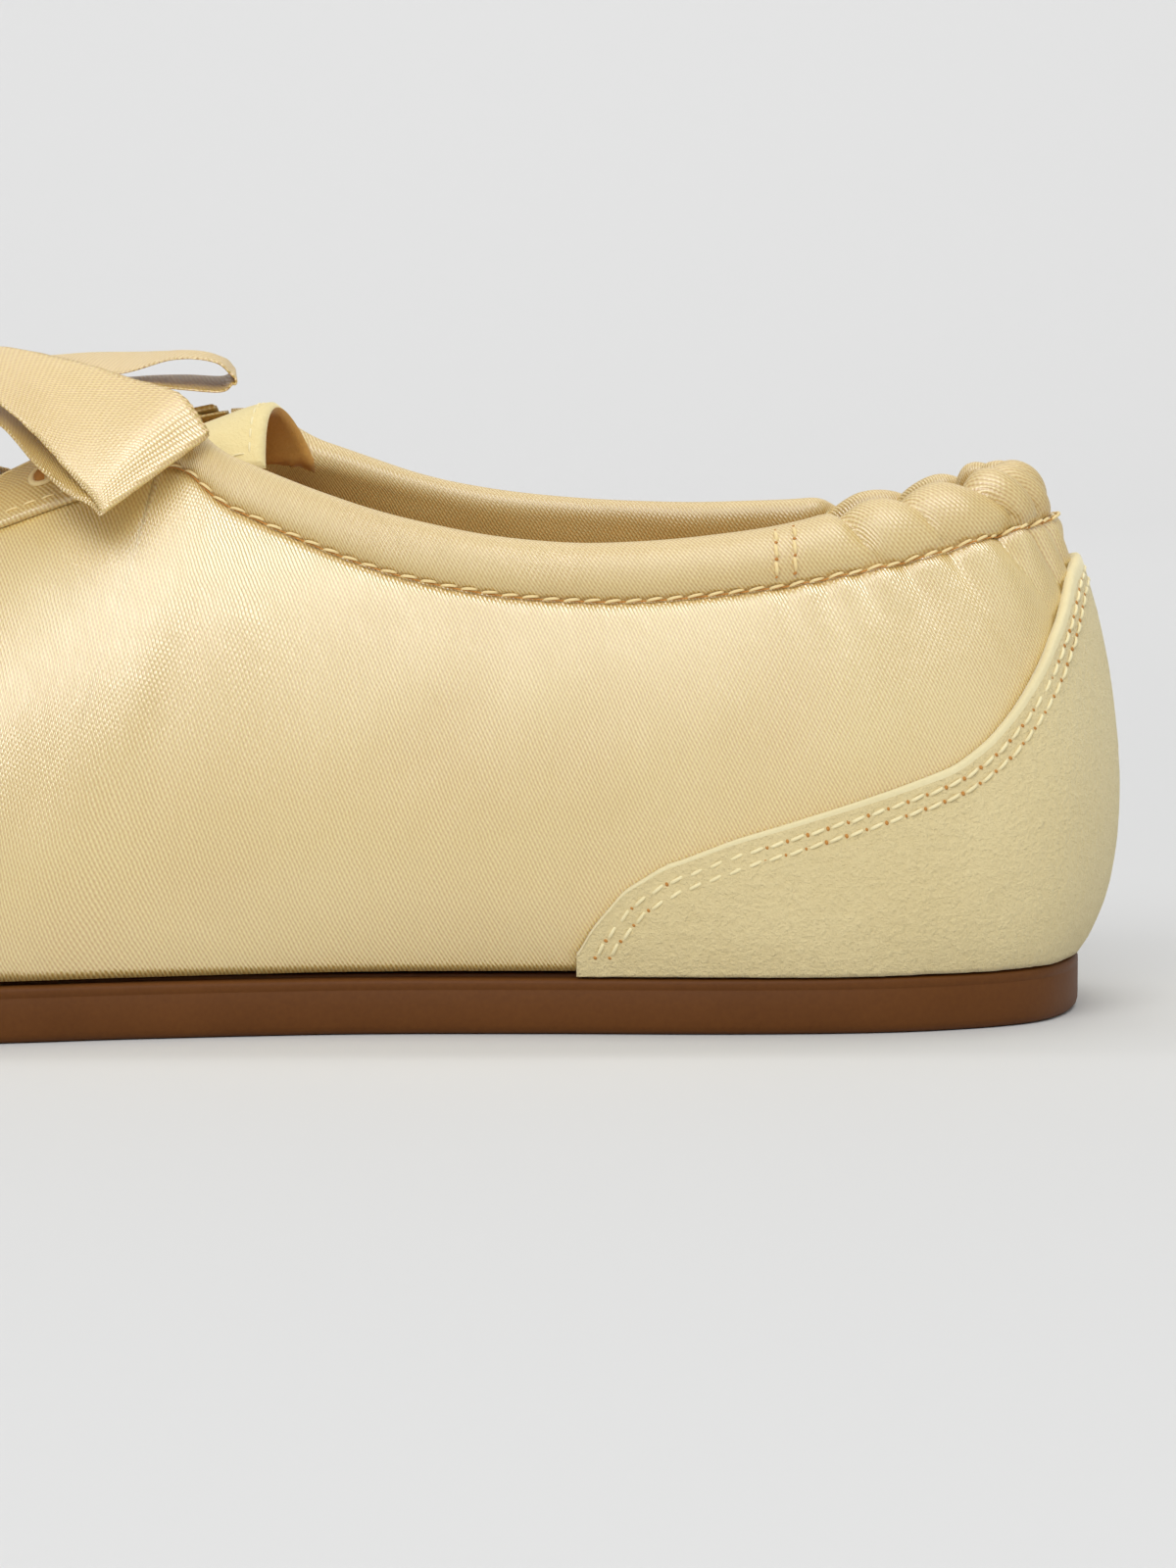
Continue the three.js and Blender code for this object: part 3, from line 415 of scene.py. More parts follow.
# ------------------------------------------------------------------ quarters
def quarter(name, sgn):
    vs = np.concatenate([spans(0.0, THROAT, 260), spans(THROAT + 0.04, VAMP - 0.001, 80)])
    us = vs if sgn < 0 else -vs
    v = station(us); hi = np.where(v <= THROAT, t_below(us, 9.15 * kscale(us)), 0.9995)
    rows = np.concatenate([np.linspace(0, 0.72, 26), np.linspace(0.72, 1, 34)[1:]])
    ts = hi[:, None] * rows[None, :]
    U = np.repeat(us[:, None], ts.shape[1], 1)
    e = (1 - rows)[None, :] * hi[:, None] * 45.0
    d = D_SATIN + 0.5 * np.exp(-(e / 0.7) ** 2) * (station(U) <= THROAT + 0.2)
    d = d - 0.30 * sstep(0.0, 0.25, ts) * 1.0 + 0.30 * 0
    o, U, P, n = grid_panel(name, us, ts, d, SATIN, "satin", lift=lambda a, b: wrinkle(a, b) + broad(a, b, 11) * sstep(0.02, 0.2, b), body="upper", slot="satin")
    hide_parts(name); return o
quarter("quarter_lateral", -1); quarter("quarter_medial", 1)

# ------------------------------------------------------------------ collar casing
PROFILE = [(9.35, 2.3), (9.3, 1.75), (8.9, 1.1), (8.2, 0.62), (7, 0.25), (5.2, 0.05), (3.4, 0.2), (1.9, 0.75), (0.75, 1.65), (0.15, 2.65), (0, 3.4),
           (0.25, 4.3), (1.0, 5.0), (2.3, 5.45), (4.5, 5.6), (7, 5.55), (9.2, 5.4)]
def dense(points, n):
    p = np.array(points, float); a = np.concatenate([[0], np.cumsum(np.linalg.norm(np.diff(p, axis=0), axis=1))])
    x = np.linspace(0, a[-1], n); q = np.concatenate([[2 * p[0] - p[1]], p, [2 * p[-1] - p[-2]]]); out = []
    for xx in x:
        i = min(max(int(np.searchsorted(a, xx, "right")) - 1, 0), len(p) - 2); f = (xx - a[i]) / (a[i + 1] - a[i])
        A, B, C, D = q[i], q[i + 1], q[i + 2], q[i + 3]
        out.append(B + 0.5 * f * (C - A + f * (2 * A - 5 * B + 4 * C - D + f * (3 * (B - C) + D - A))))
    return np.array(out), x
PD, PA = dense(PROFILE, 46)
TOP_AT = PA[int(np.argmin(PD[:, 0]))]
def casing_piece(name, us, puff):
    us = np.asarray(us, float); U = np.repeat(us[:, None], len(PD), 1); k = kscale(us)[:, None]
    S = PD[None, :, 0] * k; D = np.repeat(PD[None, :, 1], len(us), 0)
    T = t_below(U, S); P = lasted(U, T) - normal(U, T) * D[..., None]
    c = t_below(us, 4.6 * k[:, 0]); C = (lasted(us, c) - normal(us, c) * 2.9)[:, None, :]
    r = unit(P - C)
    q = TOP_AT - PA[None, :]                       # positive down the outside, negative inside
    ph = fold_phase(U, q)
    lobe = np.abs(np.sin(ph / 2)) ** 0.62
    w = np.minimum(sstep(0.0, 1.6, PA), sstep(PA[-1], PA[-1] - 1.6, PA))[None, :]
    L = (gather_amp(U) * 1.55 * (lobe - 0.93) * (0.7 + 0.5 * sstep(6, -3, q))) * w
    L += gathered(U) * 0.16 * w * value_noise(top_arc(U) * 0.14 + 9, (q + top_arc(U) * 0.5) * 0.12 + 30, 8)
    L += 0.10 * w * value_noise(top_arc(U) * 0.11 + 60, q * 0.25 + 9, 5)
    P = P + r * L[..., None] + np.array([0, 0, 1.0]) * (gathered(U) * 0.5 * w * (lobe - 0.5) * sstep(5, 0, np.abs(q)))[..., None]
    nc, nr = P.shape[:2]; I = np.arange(nc * nr).reshape(nc, nr); J = np.roll(I, -1, 1)
    F = np.stack([I[:-1].ravel(), I[1:].ravel(), J[1:].ravel(), J[:-1].ravel()], 1).tolist()
    V = P.reshape(-1, 3); base = len(V)
    V = np.concatenate([V, P[0], P[-1], P[0].mean(0)[None], P[-1].mean(0)[None]])
    for j in range(nr):
        k = (j + 1) % nr; F.append([base + 2 * nr, base + k, base + j]); F.append([base + 2 * nr + 1, base + nr + j, base + nr + k])
    A = top_arc(U); cl = np.stack([A, np.repeat(PA[None, :], nc, 0)], -1).reshape(-1, 2)
    cl = np.concatenate([cl, np.zeros((2 * nr + 2, 2))])
    o = make(name, V, F, "casing", cloth=cl, body="upper", slot="satin"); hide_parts(name); return P
casing_piece("collar_casing_heel", spans(BREAK, -BREAK, 560), True)
casing_piece("collar_casing_lateral", spans(BREAK, THROAT + 0.02, 150), False)
casing_piece("collar_casing_medial", spans(-BREAK, -THROAT - 0.02, 150), False)

# ------------------------------------------------------------------ stitches
def resample(pts, nrm, pitch):
    pts = np.asarray(pts, float); a = np.concatenate([[0], np.cumsum(np.linalg.norm(np.diff(pts, axis=0), axis=1))])
    n = max(1, int(a[-1] / pitch)); x0 = np.arange(n) * (a[-1] / n)
    f = lambda x: (np.stack([np.interp(x, a, pts[:, i]) for i in range(3)], -1), unit(np.stack([np.interp(x, a, nrm[:, i]) for i in range(3)], -1)))
    return x0, a[-1] / n, f
def stitch_rows(name, rows, pitch=2.6, gap=0.45, radius=0.2, mat="thread", rise=0.10, sink=0.12, twist=0.0, body="upper", slot="thread", node=None, jitter=0.06):
    """Each row is (points, outward normals). A stitch is a short bent capsule whose ends go into the cloth."""
    V, F = [], []; sides, rings = 8, 7; fr = np.linspace(0, 1, rings)
    for pts, nrm in rows:
        x0, step, f = resample(pts, nrm, pitch)
        for x in x0:
            xs = x + gap / 2 + (step - gap) * fr; c, n = f(xs)
            tdir = unit(np.gradient(c, axis=0)); sd = unit(np.cross(tdir, n))
            h = rise * np.sin(np.pi * fr) ** 0.5 - sink * (1 - np.sin(np.pi * fr) ** 0.35)
            c = c + n * h[:, None] + sd * (twist * (fr - 0.5) + RNG.uniform(-jitter, jitter))[:, None]
            rr = radius * (0.35 + 0.65 * np.sin(np.pi * np.clip(fr, 0.02, 0.98)) ** 0.3)
            b = len(V) if not V else sum(len(q) for q in V)
            a = np.arange(sides) * 2 * math.pi / sides
            ring_ = c[:, None, :] + rr[:, None, None] * (np.cos(a)[None, :, None] * sd[:, None, :] + np.sin(a)[None, :, None] * n[:, None, :] * 0.8)
            V.append(ring_.reshape(-1, 3))
            for i in range(rings - 1):
                for j in range(sides):
                    k = (j + 1) % sides
                    F.append([b + i * sides + j, b + (i + 1) * sides + j, b + (i + 1) * sides + k, b + i * sides + k])
            F.append([b + j for j in range(sides)]); F.append([b + (rings - 1) * sides + sides - 1 - j for j in range(sides)])
    if not V: return None
    o = make(name, np.concatenate(V), F, mat, body=body, slot=slot)
    if node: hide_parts(node)
    return o
def holes(name, rows, pitch, size=0.26, mat="hole", body="upper"):
    """Needle holes between the stitches: small flat discs just above the cloth, in a darker colour that is painted
    shade.
    """
    V, F = [], []; sides = 8
    for pts, nrm in rows:
        x0, step, f = resample(pts, nrm, pitch)
        for x in np.append(x0, x0[-1] + step):
            c, n = f(np.array([x])); c, n = c[0], n[0]; c2, _ = f(np.array([x + 0.2])); td = unit(c2[0] - c + 1e-9); sd = np.cross(td, n)
            b = len(V) * 2 * sides
            a = np.arange(sides) * 2 * math.pi / sides; r = size * RNG.uniform(0.8, 1.15)
            disc = c + r * (np.cos(a)[:, None] * td * 0.75 + np.sin(a)[:, None] * sd)
            V.append(np.concatenate([disc + n * 0.05, disc - n * 0.12]))
            F.append([b + j for j in range(sides)]); F.append([b + 2 * sides - 1 - j for j in range(sides)])
            for j in range(sides):
                k = (j + 1) % sides; F.append([b + j, b + sides + j, b + sides + k, b + k])
    return make(name, np.concatenate(V), F, mat, body=body, slot="thread")

def row_on(us, s=None, t=None, depth=0.0, lift=None):
    us = np.asarray(us, float)
    t = t_below(us, s * np.ones_like(us)) if t is None else t
    n = normal(us, t); d = depth - (lift(us, t) if lift is not None else 0)
    return lasted(us, t) - n * (d * np.ones_like(us))[:, None], n
def seam_row(us, extra=0.0, depth=1.22):
    us = np.asarray(us, float); s = (9.42 + extra) * kscale(us); return row_on(us, t=t_below(us, s), depth=depth, lift=lambda a, b: wrinkle(a, b) * 0.9)
seam_us = [spans(THROAT - 0.03, -THROAT + 0.03, 900)]
stitch_rows("collar_stitches", [seam_row(x) for x in seam_us], pitch=2.6, gap=0.5, radius=0.2, rise=0.14, sink=0.28, twist=0.3)
def cord(name, pts, nrm, radius, mat, body="upper", slot="thread"):
    pts = np.asarray(pts, float); td = unit(np.gradient(pts, axis=0)); sd = unit(np.cross(td, nrm)); a = np.arange(6) * math.pi / 3
    ringv = pts[:, None] + radius * (np.cos(a)[None, :, None] * sd[:, None] + np.sin(a)[None, :, None] * unit(nrm)[:, None])
    V = ringv.reshape(-1, 3); n = len(pts); F = [[i * 6 + j, (i + 1) * 6 + j, (i + 1) * 6 + (j + 1) % 6, i * 6 + (j + 1) % 6] for i in range(n - 1) for j in range(6)]
    F += [[5 - j for j in range(6)], [(n - 1) * 6 + j for j in range(6)]]
    return make(name, V, F, mat, body=body, slot=slot)
# painted shadow: a thin dark cord along the collar seam stands in for the shade in the seam groove
_p, _n = seam_row(seam_us[0], 0.15, 1.42); cord("collar_seam_shadow", _p, _n, 0.1, "hole")

# bar tacks: two dense short rows that close the gathered part of the collar
for nm, s in (("bartack_lateral", 1), ("bartack_medial", -1)):
    rows = []
    for dv in (0.035, 0.155):
        ss = np.linspace(1.2, 8.3, 40) * 0.93; uu = np.full(40, s * (BREAK + dv))
        t = t_below(uu, ss); n = normal(uu, t)
        lift = np.interp(ss, [0, 1.9, 3.4, 5.2, 7.0, 8.2, 9], [2.2, .8, .2, .05, .25, .62, 1.2])
        rows.append((lasted(uu, t) - n * (lift - 0.22)[:, None], n))
    stitch_rows(nm, rows, pitch=1.75, gap=0.35, radius=0.25, rise=0.16, sink=0.25, twist=0.2, node=nm)
    holes(nm + "_holes", [(r[0] - r[1] * 0.06, r[1]) for r in rows], 1.75, 0.24)

# ------------------------------------------------------------------ heel counter in suede
CB = [[0, 59.6], [0.4, 59.2], [0.8, 57.8], [1.2, 54.5], [1.6, 50]]
C_LAT = table(CB + [[1.92, 44.8], [2.17, 40.5], [2.4, 37], [2.66, 34], [3.05, 31.5], [3.56, 28.3], [4.06, 25.1], [4.44, 21.5], [4.62, 18.5], [4.77, 13.5], [4.84, 9.8]])
C_MED = table(CB + [[1.92, 45.3], [2.17, 41.3], [2.5, 37.3], [3, 34], [3.5, 32.2], [4, 30.3], [4.3, 28.6], [4.6, 26.2], [4.8, 23.5], [4.92, 18], [5.02, 10]])
def smooth1(y, k=9):
    w = np.hanning(k + 2)[1:-1]; w /= w.sum(); p = k // 2; return np.convolve(np.pad(y, p, mode="edge"), w, "valid")
def counter_edge(us):
    us = np.asarray(us, float); z = np.where(wrap(us) >= 0, C_LAT(station(us)), C_MED(station(us))); return smooth1(z)
def rounded_overlay(name, us, hi, body="upper", slot="suede", mat="suede", rim="rim", thick=1.2, rows=30, seed=21, ridge=False, lo=0.0):
    """Raised overlay with a rounded pale cut edge. hi is the height of its edge for each column."""
    edge = np.concatenate([np.linspace(0, 0.86, rows), 1 - np.array([1.9, 1.4, 1.05, 0.8, 0.6, 0.42, 0.28, 0.16, 0.07, 0.0]) / 45])
    ts = lo + (hi - lo)[:, None] * edge[None, :]
    U = np.repeat(us[:, None], ts.shape[1], 1); P = lasted(U, ts); n = normal(U, ts)
    e = np.concatenate([np.full(rows, 5.0), [1.9, 1.4, 1.05, 0.8, 0.6, 0.42, 0.28, 0.16, 0.07, 0.0]])[None, :]
    r = 0.55; x = np.clip(r - e, 0, r); d = r - np.sqrt(r * r - x * x)
    lump = 0.05 * value_noise(wrap(U) * 14 + 3, ts * 40 + 3, seed) + 0.12 * value_noise(wrap(U) * 2.2 + 20, ts * 7 + 3, seed + 1)
    top = P - n * (d - lump - 0.06 * np.exp(-((e - 1.0) / 0.7) ** 2))[..., None]
    bot = P - n * (thick + 0 * d)[..., None]
    o = shell(name, top, bot, mat, ridge=ridge, body=body, slot=slot)
    me = o.data; me.materials.append(M[rim]); nr = ts.shape[1]; nc = len(us)
    idx = np.zeros(len(me.polygons), np.int32); vi = np.zeros(len(me.vertices), bool)
    vi[(np.arange(nc)[:, None] * nr + np.arange(nr - 9, nr)[None, :]).ravel()] = True
    vi[(nc * nr + np.arange(nc)[:, None] * nr + np.arange(nr - 3, nr)[None, :]).ravel()] = True
    for p in me.polygons:
        if all(vi[v] for v in p.vertices): idx[p.index] = 1
    me.polygons.foreach_set("material_index", idx); return o
M["rim"] = suede_like("suede_cut_edge", (226, 212, 166), (238, 226, 184), 0.00008)
cu = np.concatenate([spans(4.84, 4.4, 46), spans(4.4, 1.2, 130)[1:], spans(1.2, -1.2, 90)[1:], spans(-1.2, -4.5, 130)[1:], spans(-4.5, -5.02, 40)[1:]])
ce = counter_edge(cu); c_hi = t_at_z(cu, ce)
counter = rounded_overlay("heel_counter", cu, c_hi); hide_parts("heel_counter")
def inset_row(us, hi, off, depth=-0.02):
    """Line that runs off millimetres inside the edge of an overlay, across its surface."""
    P = lasted(us, hi); n = normal(us, hi); td = unit(np.gradient(P, axis=0)); sd = unit(np.cross(td, n))
    down = lasted(us, np.maximum(hi - 0.03, 0)) - P; sd = sd * np.sign((sd * down).sum(-1, keepdims=True))
    sd = unit(np.stack([smooth1(sd[:, i], 9) for i in range(3)], -1))
    Q = P + sd * off
    G_u = us[:, None] + np.linspace(-0.5, 0.5, 21)[None, :] * min(1.0, off / 3); G_t = np.clip(hi[:, None] - np.linspace(0, 0.14, 25)[None, :] * (off / 2.5), 0, 1)
    out, outn = [], []
    for i in range(len(us)):
        uu, tt = np.meshgrid(G_u[i], G_t[i], indexing="ij"); L = lasted(uu, tt); dd = ((L - Q[i]) ** 2).sum(-1); k = np.unravel_index(np.argmin(dd), dd.shape)
        nn = normal(uu[k][None], tt[k][None])[0]; out.append(Q[i] - nn * (((Q[i] - L[k]) * nn).sum() + depth)); outn.append(nn)
    out = np.array(out); out = np.stack([smooth1(out[:, i], 5) for i in range(3)], -1); return out, np.array(outn)
thin = slice(None, None, 2)
rows = [inset_row(cu[thin], c_hi[thin], 2.1), inset_row(cu[thin], c_hi[thin], 3.7)]
rows = [(p[(p[:, 2] > 9.5)], n[(p[:, 2] > 9.5)]) for p, n in rows]
M["thread_suede"] = plain("thread_on_suede", (236, 220, 168), (248, 236, 190), 0.7, 6000, 0.00003, sheen=0.3)
stitch_rows("counter_stitches", rows, pitch=2.65, gap=0.6, radius=0.24, rise=0.12, sink=0.26, mat="thread_suede", twist=0.25)
holes("counter_holes", [(p - n * 0.02, n) for p, n in rows], 2.65, 0.27)

# ------------------------------------------------------------------ vamp, linings, toe cap
def mirrored(v0, n): v = spans(v0, LAST, n); return np.concatenate([v, N - v[:-1][::-1]])
def vamp_lift(u, t): return broad(u, t, 11) * sstep(0.02, 0.2, t) * sstep(1.0, 0.8, t)
us = mirrored(VAMP + 0.001, 120); ts = np.repeat(np.concatenate([np.linspace(0, 0.85, 34), np.linspace(0.85, 1, 14)[1:]])[None, :], len(us), 0)
e_mm = np.minimum(us - us[0], us[-1] - us)[:, None] * 13.0
vamp, *_ = grid_panel("vamp", us, ts, D_SATIN + 0.22 * np.exp(-(e_mm / 0.5) ** 2) * np.ones_like(ts), SATIN, "satin", lift=vamp_lift, ridge=True, body="upper", slot="satin"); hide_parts("vamp")
for s in (1, -1):
    uu = np.full(120, VAMP + 0.12) if s > 0 else np.full(120, N - VAMP - 0.12)
    p, n = row_on(uu, t=np.linspace(0.03, 0.96, 120), depth=D_SATIN - 0.02, lift=vamp_lift)
    stitch_rows("vamp_seam_stitches_%d" % (s > 0), [(p, n)], pitch=2.6, gap=0.6, radius=0.17, rise=0.08, sink=0.18)

vs = np.concatenate([spans(0.0, THROAT, 170), spans(THROAT + 0.04, VAMP - 0.02, 50)]); us = np.concatenate([vs[::-1], -vs[1:]])
hi = np.where(station(us) <= THROAT, t_below(us, 8.9 * kscale(us)), 0.9995); ts = 0.03 + (hi[:, None] - 0.03) * np.linspace(0, 1, 40)[None, :]
# the linings' deep gold is painted shade and interreflection of the shoe's inside
o, *_ = grid_panel("quarter_lining", us, ts, D_LINING, 0.8, "lining", lift=lambda a, b: 0.5 * wrinkle(a, b), body="upper", slot="lining"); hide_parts("quarter_lining")
us = mirrored(VAMP + 0.02, 60); ts = np.repeat((0.03 + 0.97 * np.linspace(0, 1, 30))[None, :], len(us), 0)
o, *_ = grid_panel("vamp_lining", us, ts, D_LINING, 0.8, "lining", ridge=True, body="upper", slot="lining"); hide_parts("vamp_lining")

cap_edge = smooth_table([[12, 0.07], [12.4, 0.2], [13, 0.37], [13.6, 0.5], [14.3, 0.59], [15, 0.62]])
us = mirrored(12.0, 110); hi = cap_edge(station(us)); o = rounded_overlay("toe_cap", us, hi, seed=31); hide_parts("toe_cap")
rows = [inset_row(us[::2], hi[::2], 2.1), inset_row(us[::2], hi[::2], 3.7)]
stitch_rows("toe_cap_stitches", rows, pitch=2.65, gap=0.6, radius=0.24, rise=0.12, sink=0.26, mat="thread_suede"); holes("toe_cap_holes", [(p - n * 0.02, n) for p, n in rows], 2.65, 0.27)

# ------------------------------------------------------------------ facings with lace holes
for nm, s in (("eyestay_lateral", -1), ("eyestay_medial", 1)):
    vs = spans(THROAT + 0.1, VAMP - 0.12, 110); us = vs if s < 0 else N - vs
    bot = t_below(us, 13 * np.ones_like(us)); top = 0.995
    f = np.concatenate([[0, .01, .025, .05, .09], np.linspace(.15, .85, 16), [.91, .95, .975, .99, 1]])
    ts = bot[:, None] + (top - bot)[:, None] * f[None, :]
    e = np.minimum(np.minimum(f, 1 - f)[None, :] * 13, (np.minimum(vs - vs[0], vs[-1] - vs) * 12)[:, None]); r = 0.5
    d = 0.3 + r - np.sqrt(np.maximum(r * r - np.clip(r - e, 0, r) ** 2, 0)) + 0.06 * value_noise(wrap(np.repeat(us[:, None], ts.shape[1], 1)) * 6, ts * 30, 9)
    o, *_ = grid_panel(nm, us, ts, d, 0.9, "casing", body="upper", slot="satin"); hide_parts(nm)
    k = slice(4, -4)
    rw = [row_on(us[k], t=(bot + (top - bot) * ff)[k], depth=0.28) for ff in (0.12, 0.88)]
    stitch_rows(nm + "_stitches", rw, pitch=2.4, gap=0.5, radius=0.17, rise=0.08, sink=0.18)
    V, F = [], []
    for v in (8.75, 9.5, 10.25):
        u0 = np.array([v if s < 0 else N - v]); t0 = t_below(u0, np.array([6.6])); c = (lasted(u0, t0) - normal(u0, t0) * 0.25)[0]; n = normal(u0, t0)[0]
        td = unit((lasted(u0, t0 + 0.01) - lasted(u0, t0))[0]); sd = np.cross(td, n); b = sum(len(x) for x in V); A, B = 28, 8
        a = np.arange(A) * 2 * math.pi / A; q = np.arange(B) * 2 * math.pi / B
        ringc = c + 1.75 * (np.cos(a)[:, None] * td + np.sin(a)[:, None] * sd); out = np.cos(a)[:, None] * td + np.sin(a)[:, None] * sd
        rr = 0.42 * (1 + 0.12 * np.sin(a * 14))
        V.append((ringc[:, None] + rr[:, None, None] * (np.cos(q)[None, :, None] * out[:, None, :] + np.sin(q)[None, :, None] * n * 0.7)).reshape(-1, 3))
        F += [[b + i * B + j, b + ((i + 1) % A) * B + j, b + ((i + 1) % A) * B + (j + 1) % B, b + i * B + (j + 1) % B] for i in range(A) for j in range(B)]
    make(nm + "_eyelets", np.concatenate(V), F, "thread", body="upper", slot="thread")
    holes(nm + "_lace_holes", [((lasted(u0, t0) - normal(u0, t0) * 0.28).repeat(2, 0) + np.array([[0, 0, 0], [0.01, 0, 0]]), normal(u0, t0).repeat(2, 0))
        for v in (8.75, 9.5, 10.25) for u0 in [np.array([v if s < 0 else N - v])] for t0 in [t_below(u0, np.array([6.6]))]], 0.02, 1.45)

# ------------------------------------------------------------------ tongue
T_CROWN = table([[96,80],[102,79.6],[108,78.8],[114,76.6],[119,74.4],[125,71.2],[132,68.2],[140,64.6],[149,60.2],[158,55.3],[167,50]])
T_HALF = table([[100,10.6],[110,10.8],[117,12.6],[124,15],[135,17],[150,18],[167,15]]); T_RAD = table([[100,6.6],[108,7.2],[114,9.5],[124,18],[140,24],[167,26]])
_v = np.arange(7, 12.01, 0.06); _t = np.arange(0.4, 1.0, 0.02); UNDER = []
for s in (-1, 1):
    u = (_v if s < 0 else N - _v)[:, None] * np.ones((1, len(_t))); t = np.ones((len(_v), 1)) * _t[None, :]
    dp = np.where(_v < 8.1, 5.4, D_LINING + 0.8)[:, None] * np.ones((1, len(_t))); UNDER.append((lasted(u, t) - normal(u, t) * dp[..., None]).reshape(-1, 3))
UNDER = np.concatenate(UNDER)
nf, nq = 90, 64
ff, qq = np.meshgrid(np.linspace(0, 1, nf) ** 1.0, np.linspace(-1, 1, nq), indexing="ij")
back = 105.2 - 2.7 * qq - 1.9 * qq * qq; TH = back + (167 - back) * ff; TY = qq * T_HALF(TH)
free = T_CROWN(TH) - TY * TY / (2 * T_RAD(TH)); TZ = free.copy()
for i in range(nf):
    d2 = (UNDER[None, :, 0] - TH[i][:, None]) ** 2 + (UNDER[None, :, 1] - TY[i][:, None]) ** 2; k = d2.argmin(1); near = d2[np.arange(nq), k]
    TZ[i] = np.where(near < 9, np.minimum(free[i], UNDER[k, 2] - 1.3), free[i])
def blur2(a, n):
    for _ in range(n):
        p = np.pad(a, 1, mode="edge"); a = (p[:-2, 1:-1] + p[2:, 1:-1] + p[1:-1, :-2] + p[1:-1, 2:] + 2 * p[1:-1, 1:-1]) / 6
    return a
TZ = np.minimum(blur2(TZ, 10), TZ + 0.35)
mid = np.stack([TH, TY, TZ], -1); du = np.gradient(mid, axis=0); dv = np.gradient(mid, axis=1); tn = unit(np.cross(du, dv)); tn *= np.sign(tn[..., 2:3] + 1e-9)
mm_f = (TH - back) ; e = np.minimum(np.minimum(mm_f, 4), (1 - np.abs(qq)) * T_HALF(TH)); r = 0.75
th = 1.5 * np.sqrt(np.clip(1 - np.clip(1 - e / r, 0, 1) ** 2, 0.0004, 1)) * (1 + 0.10 * value_noise(TH * 0.3 + 5, TY * 0.3 + 30, 77))
mid = mid - tn * 0.7; up = mid + tn * (th / 2)[..., None]; dn = mid - tn * (th / 2)[..., None]
# painted shade: the tongue's lower faces take the darker underside suede
tongue = shell("tongue", up, dn, "tongue", body="tongue", slot="tongue_suede"); tongue.data.materials.append(M["tongue_in"])
cnt = (nf - 1) * (nq - 1); mi = np.zeros(len(tongue.data.polygons), np.int32); mi[cnt:2 * cnt] = 1; tongue.data.polygons.foreach_set("material_index", mi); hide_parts("tongue")
# a stitched line a little inside the free edge of the tongue
k = 4; i0 = 3; edge_pts = np.concatenate([up[55:i0:-1, k], up[i0, k:nq - k], up[i0:56, nq - 1 - k]]); edge_n = np.concatenate([tn[55:i0:-1, k], tn[i0, k:nq - k], tn[i0:56, nq - 1 - k]])
stitch_rows("tongue_stitches", [(edge_pts, edge_n)], pitch=2.4, gap=0.5, radius=0.16, rise=0.06, sink=0.16, mat="thread_suede", body="tongue", slot="thread")

# ------------------------------------------------------------------ ribbon
RIB = 0.36
def spline(points, n):
    p = np.array(points, float); q = np.concatenate([[2 * p[0] - p[1]], p, [2 * p[-1] - p[-2]]])
    x = np.linspace(0, len(p) - 1, n); i = np.minimum(x.astype(int), len(p) - 2); f = (x - i)[:, None]; A, B, C, D = q[i], q[i + 1], q[i + 2], q[i + 3]
    return B + 0.5 * f * (C - A + f * (2 * A - 5 * B + 4 * C - D + f * (3 * (B - C) + D - A)))
def sheet_grid(name, G, mat="ribbon", width=18.0, body="upper", slot="ribbon", node=None, thick=RIB, selvage=True):
    """G: along x across x 3 middle surface of a ribbon. Its thickness is added here."""
    du = np.gradient(G, axis=0); dv = np.gradient(G, axis=1); n = unit(np.cross(du, dv)); nr = G.shape[1]
    a = arc(G, 0).mean(1)[:, None] * np.ones((1, nr)); b = np.linspace(0, width, nr)[None, :] * np.ones((G.shape[0], 1))
    w = np.full(nr, thick / 2); w[[0, -1]] *= 0.5
    teeth = 0.07 * np.sin(a * 2 * math.pi / 0.66); dirv = unit(dv)
    G = G.copy()
    if selvage: G[:, 0] -= dirv[:, 0] * teeth[:, :1]; G[:, -1] += dirv[:, -1] * teeth[:, :1]
    o = shell(name, G + n * w[None, :, None], G - n * w[None, :, None], mat, cloth=np.stack([a, b], -1), body=body, slot=slot)
    if node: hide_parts(node)
    area = float(np.linalg.norm(np.cross(G[1:, :-1] - G[:-1, :-1], G[:-1, 1:] - G[:-1, :-1]), axis=-1).sum())
    return o, float(a[-1, 0]), area
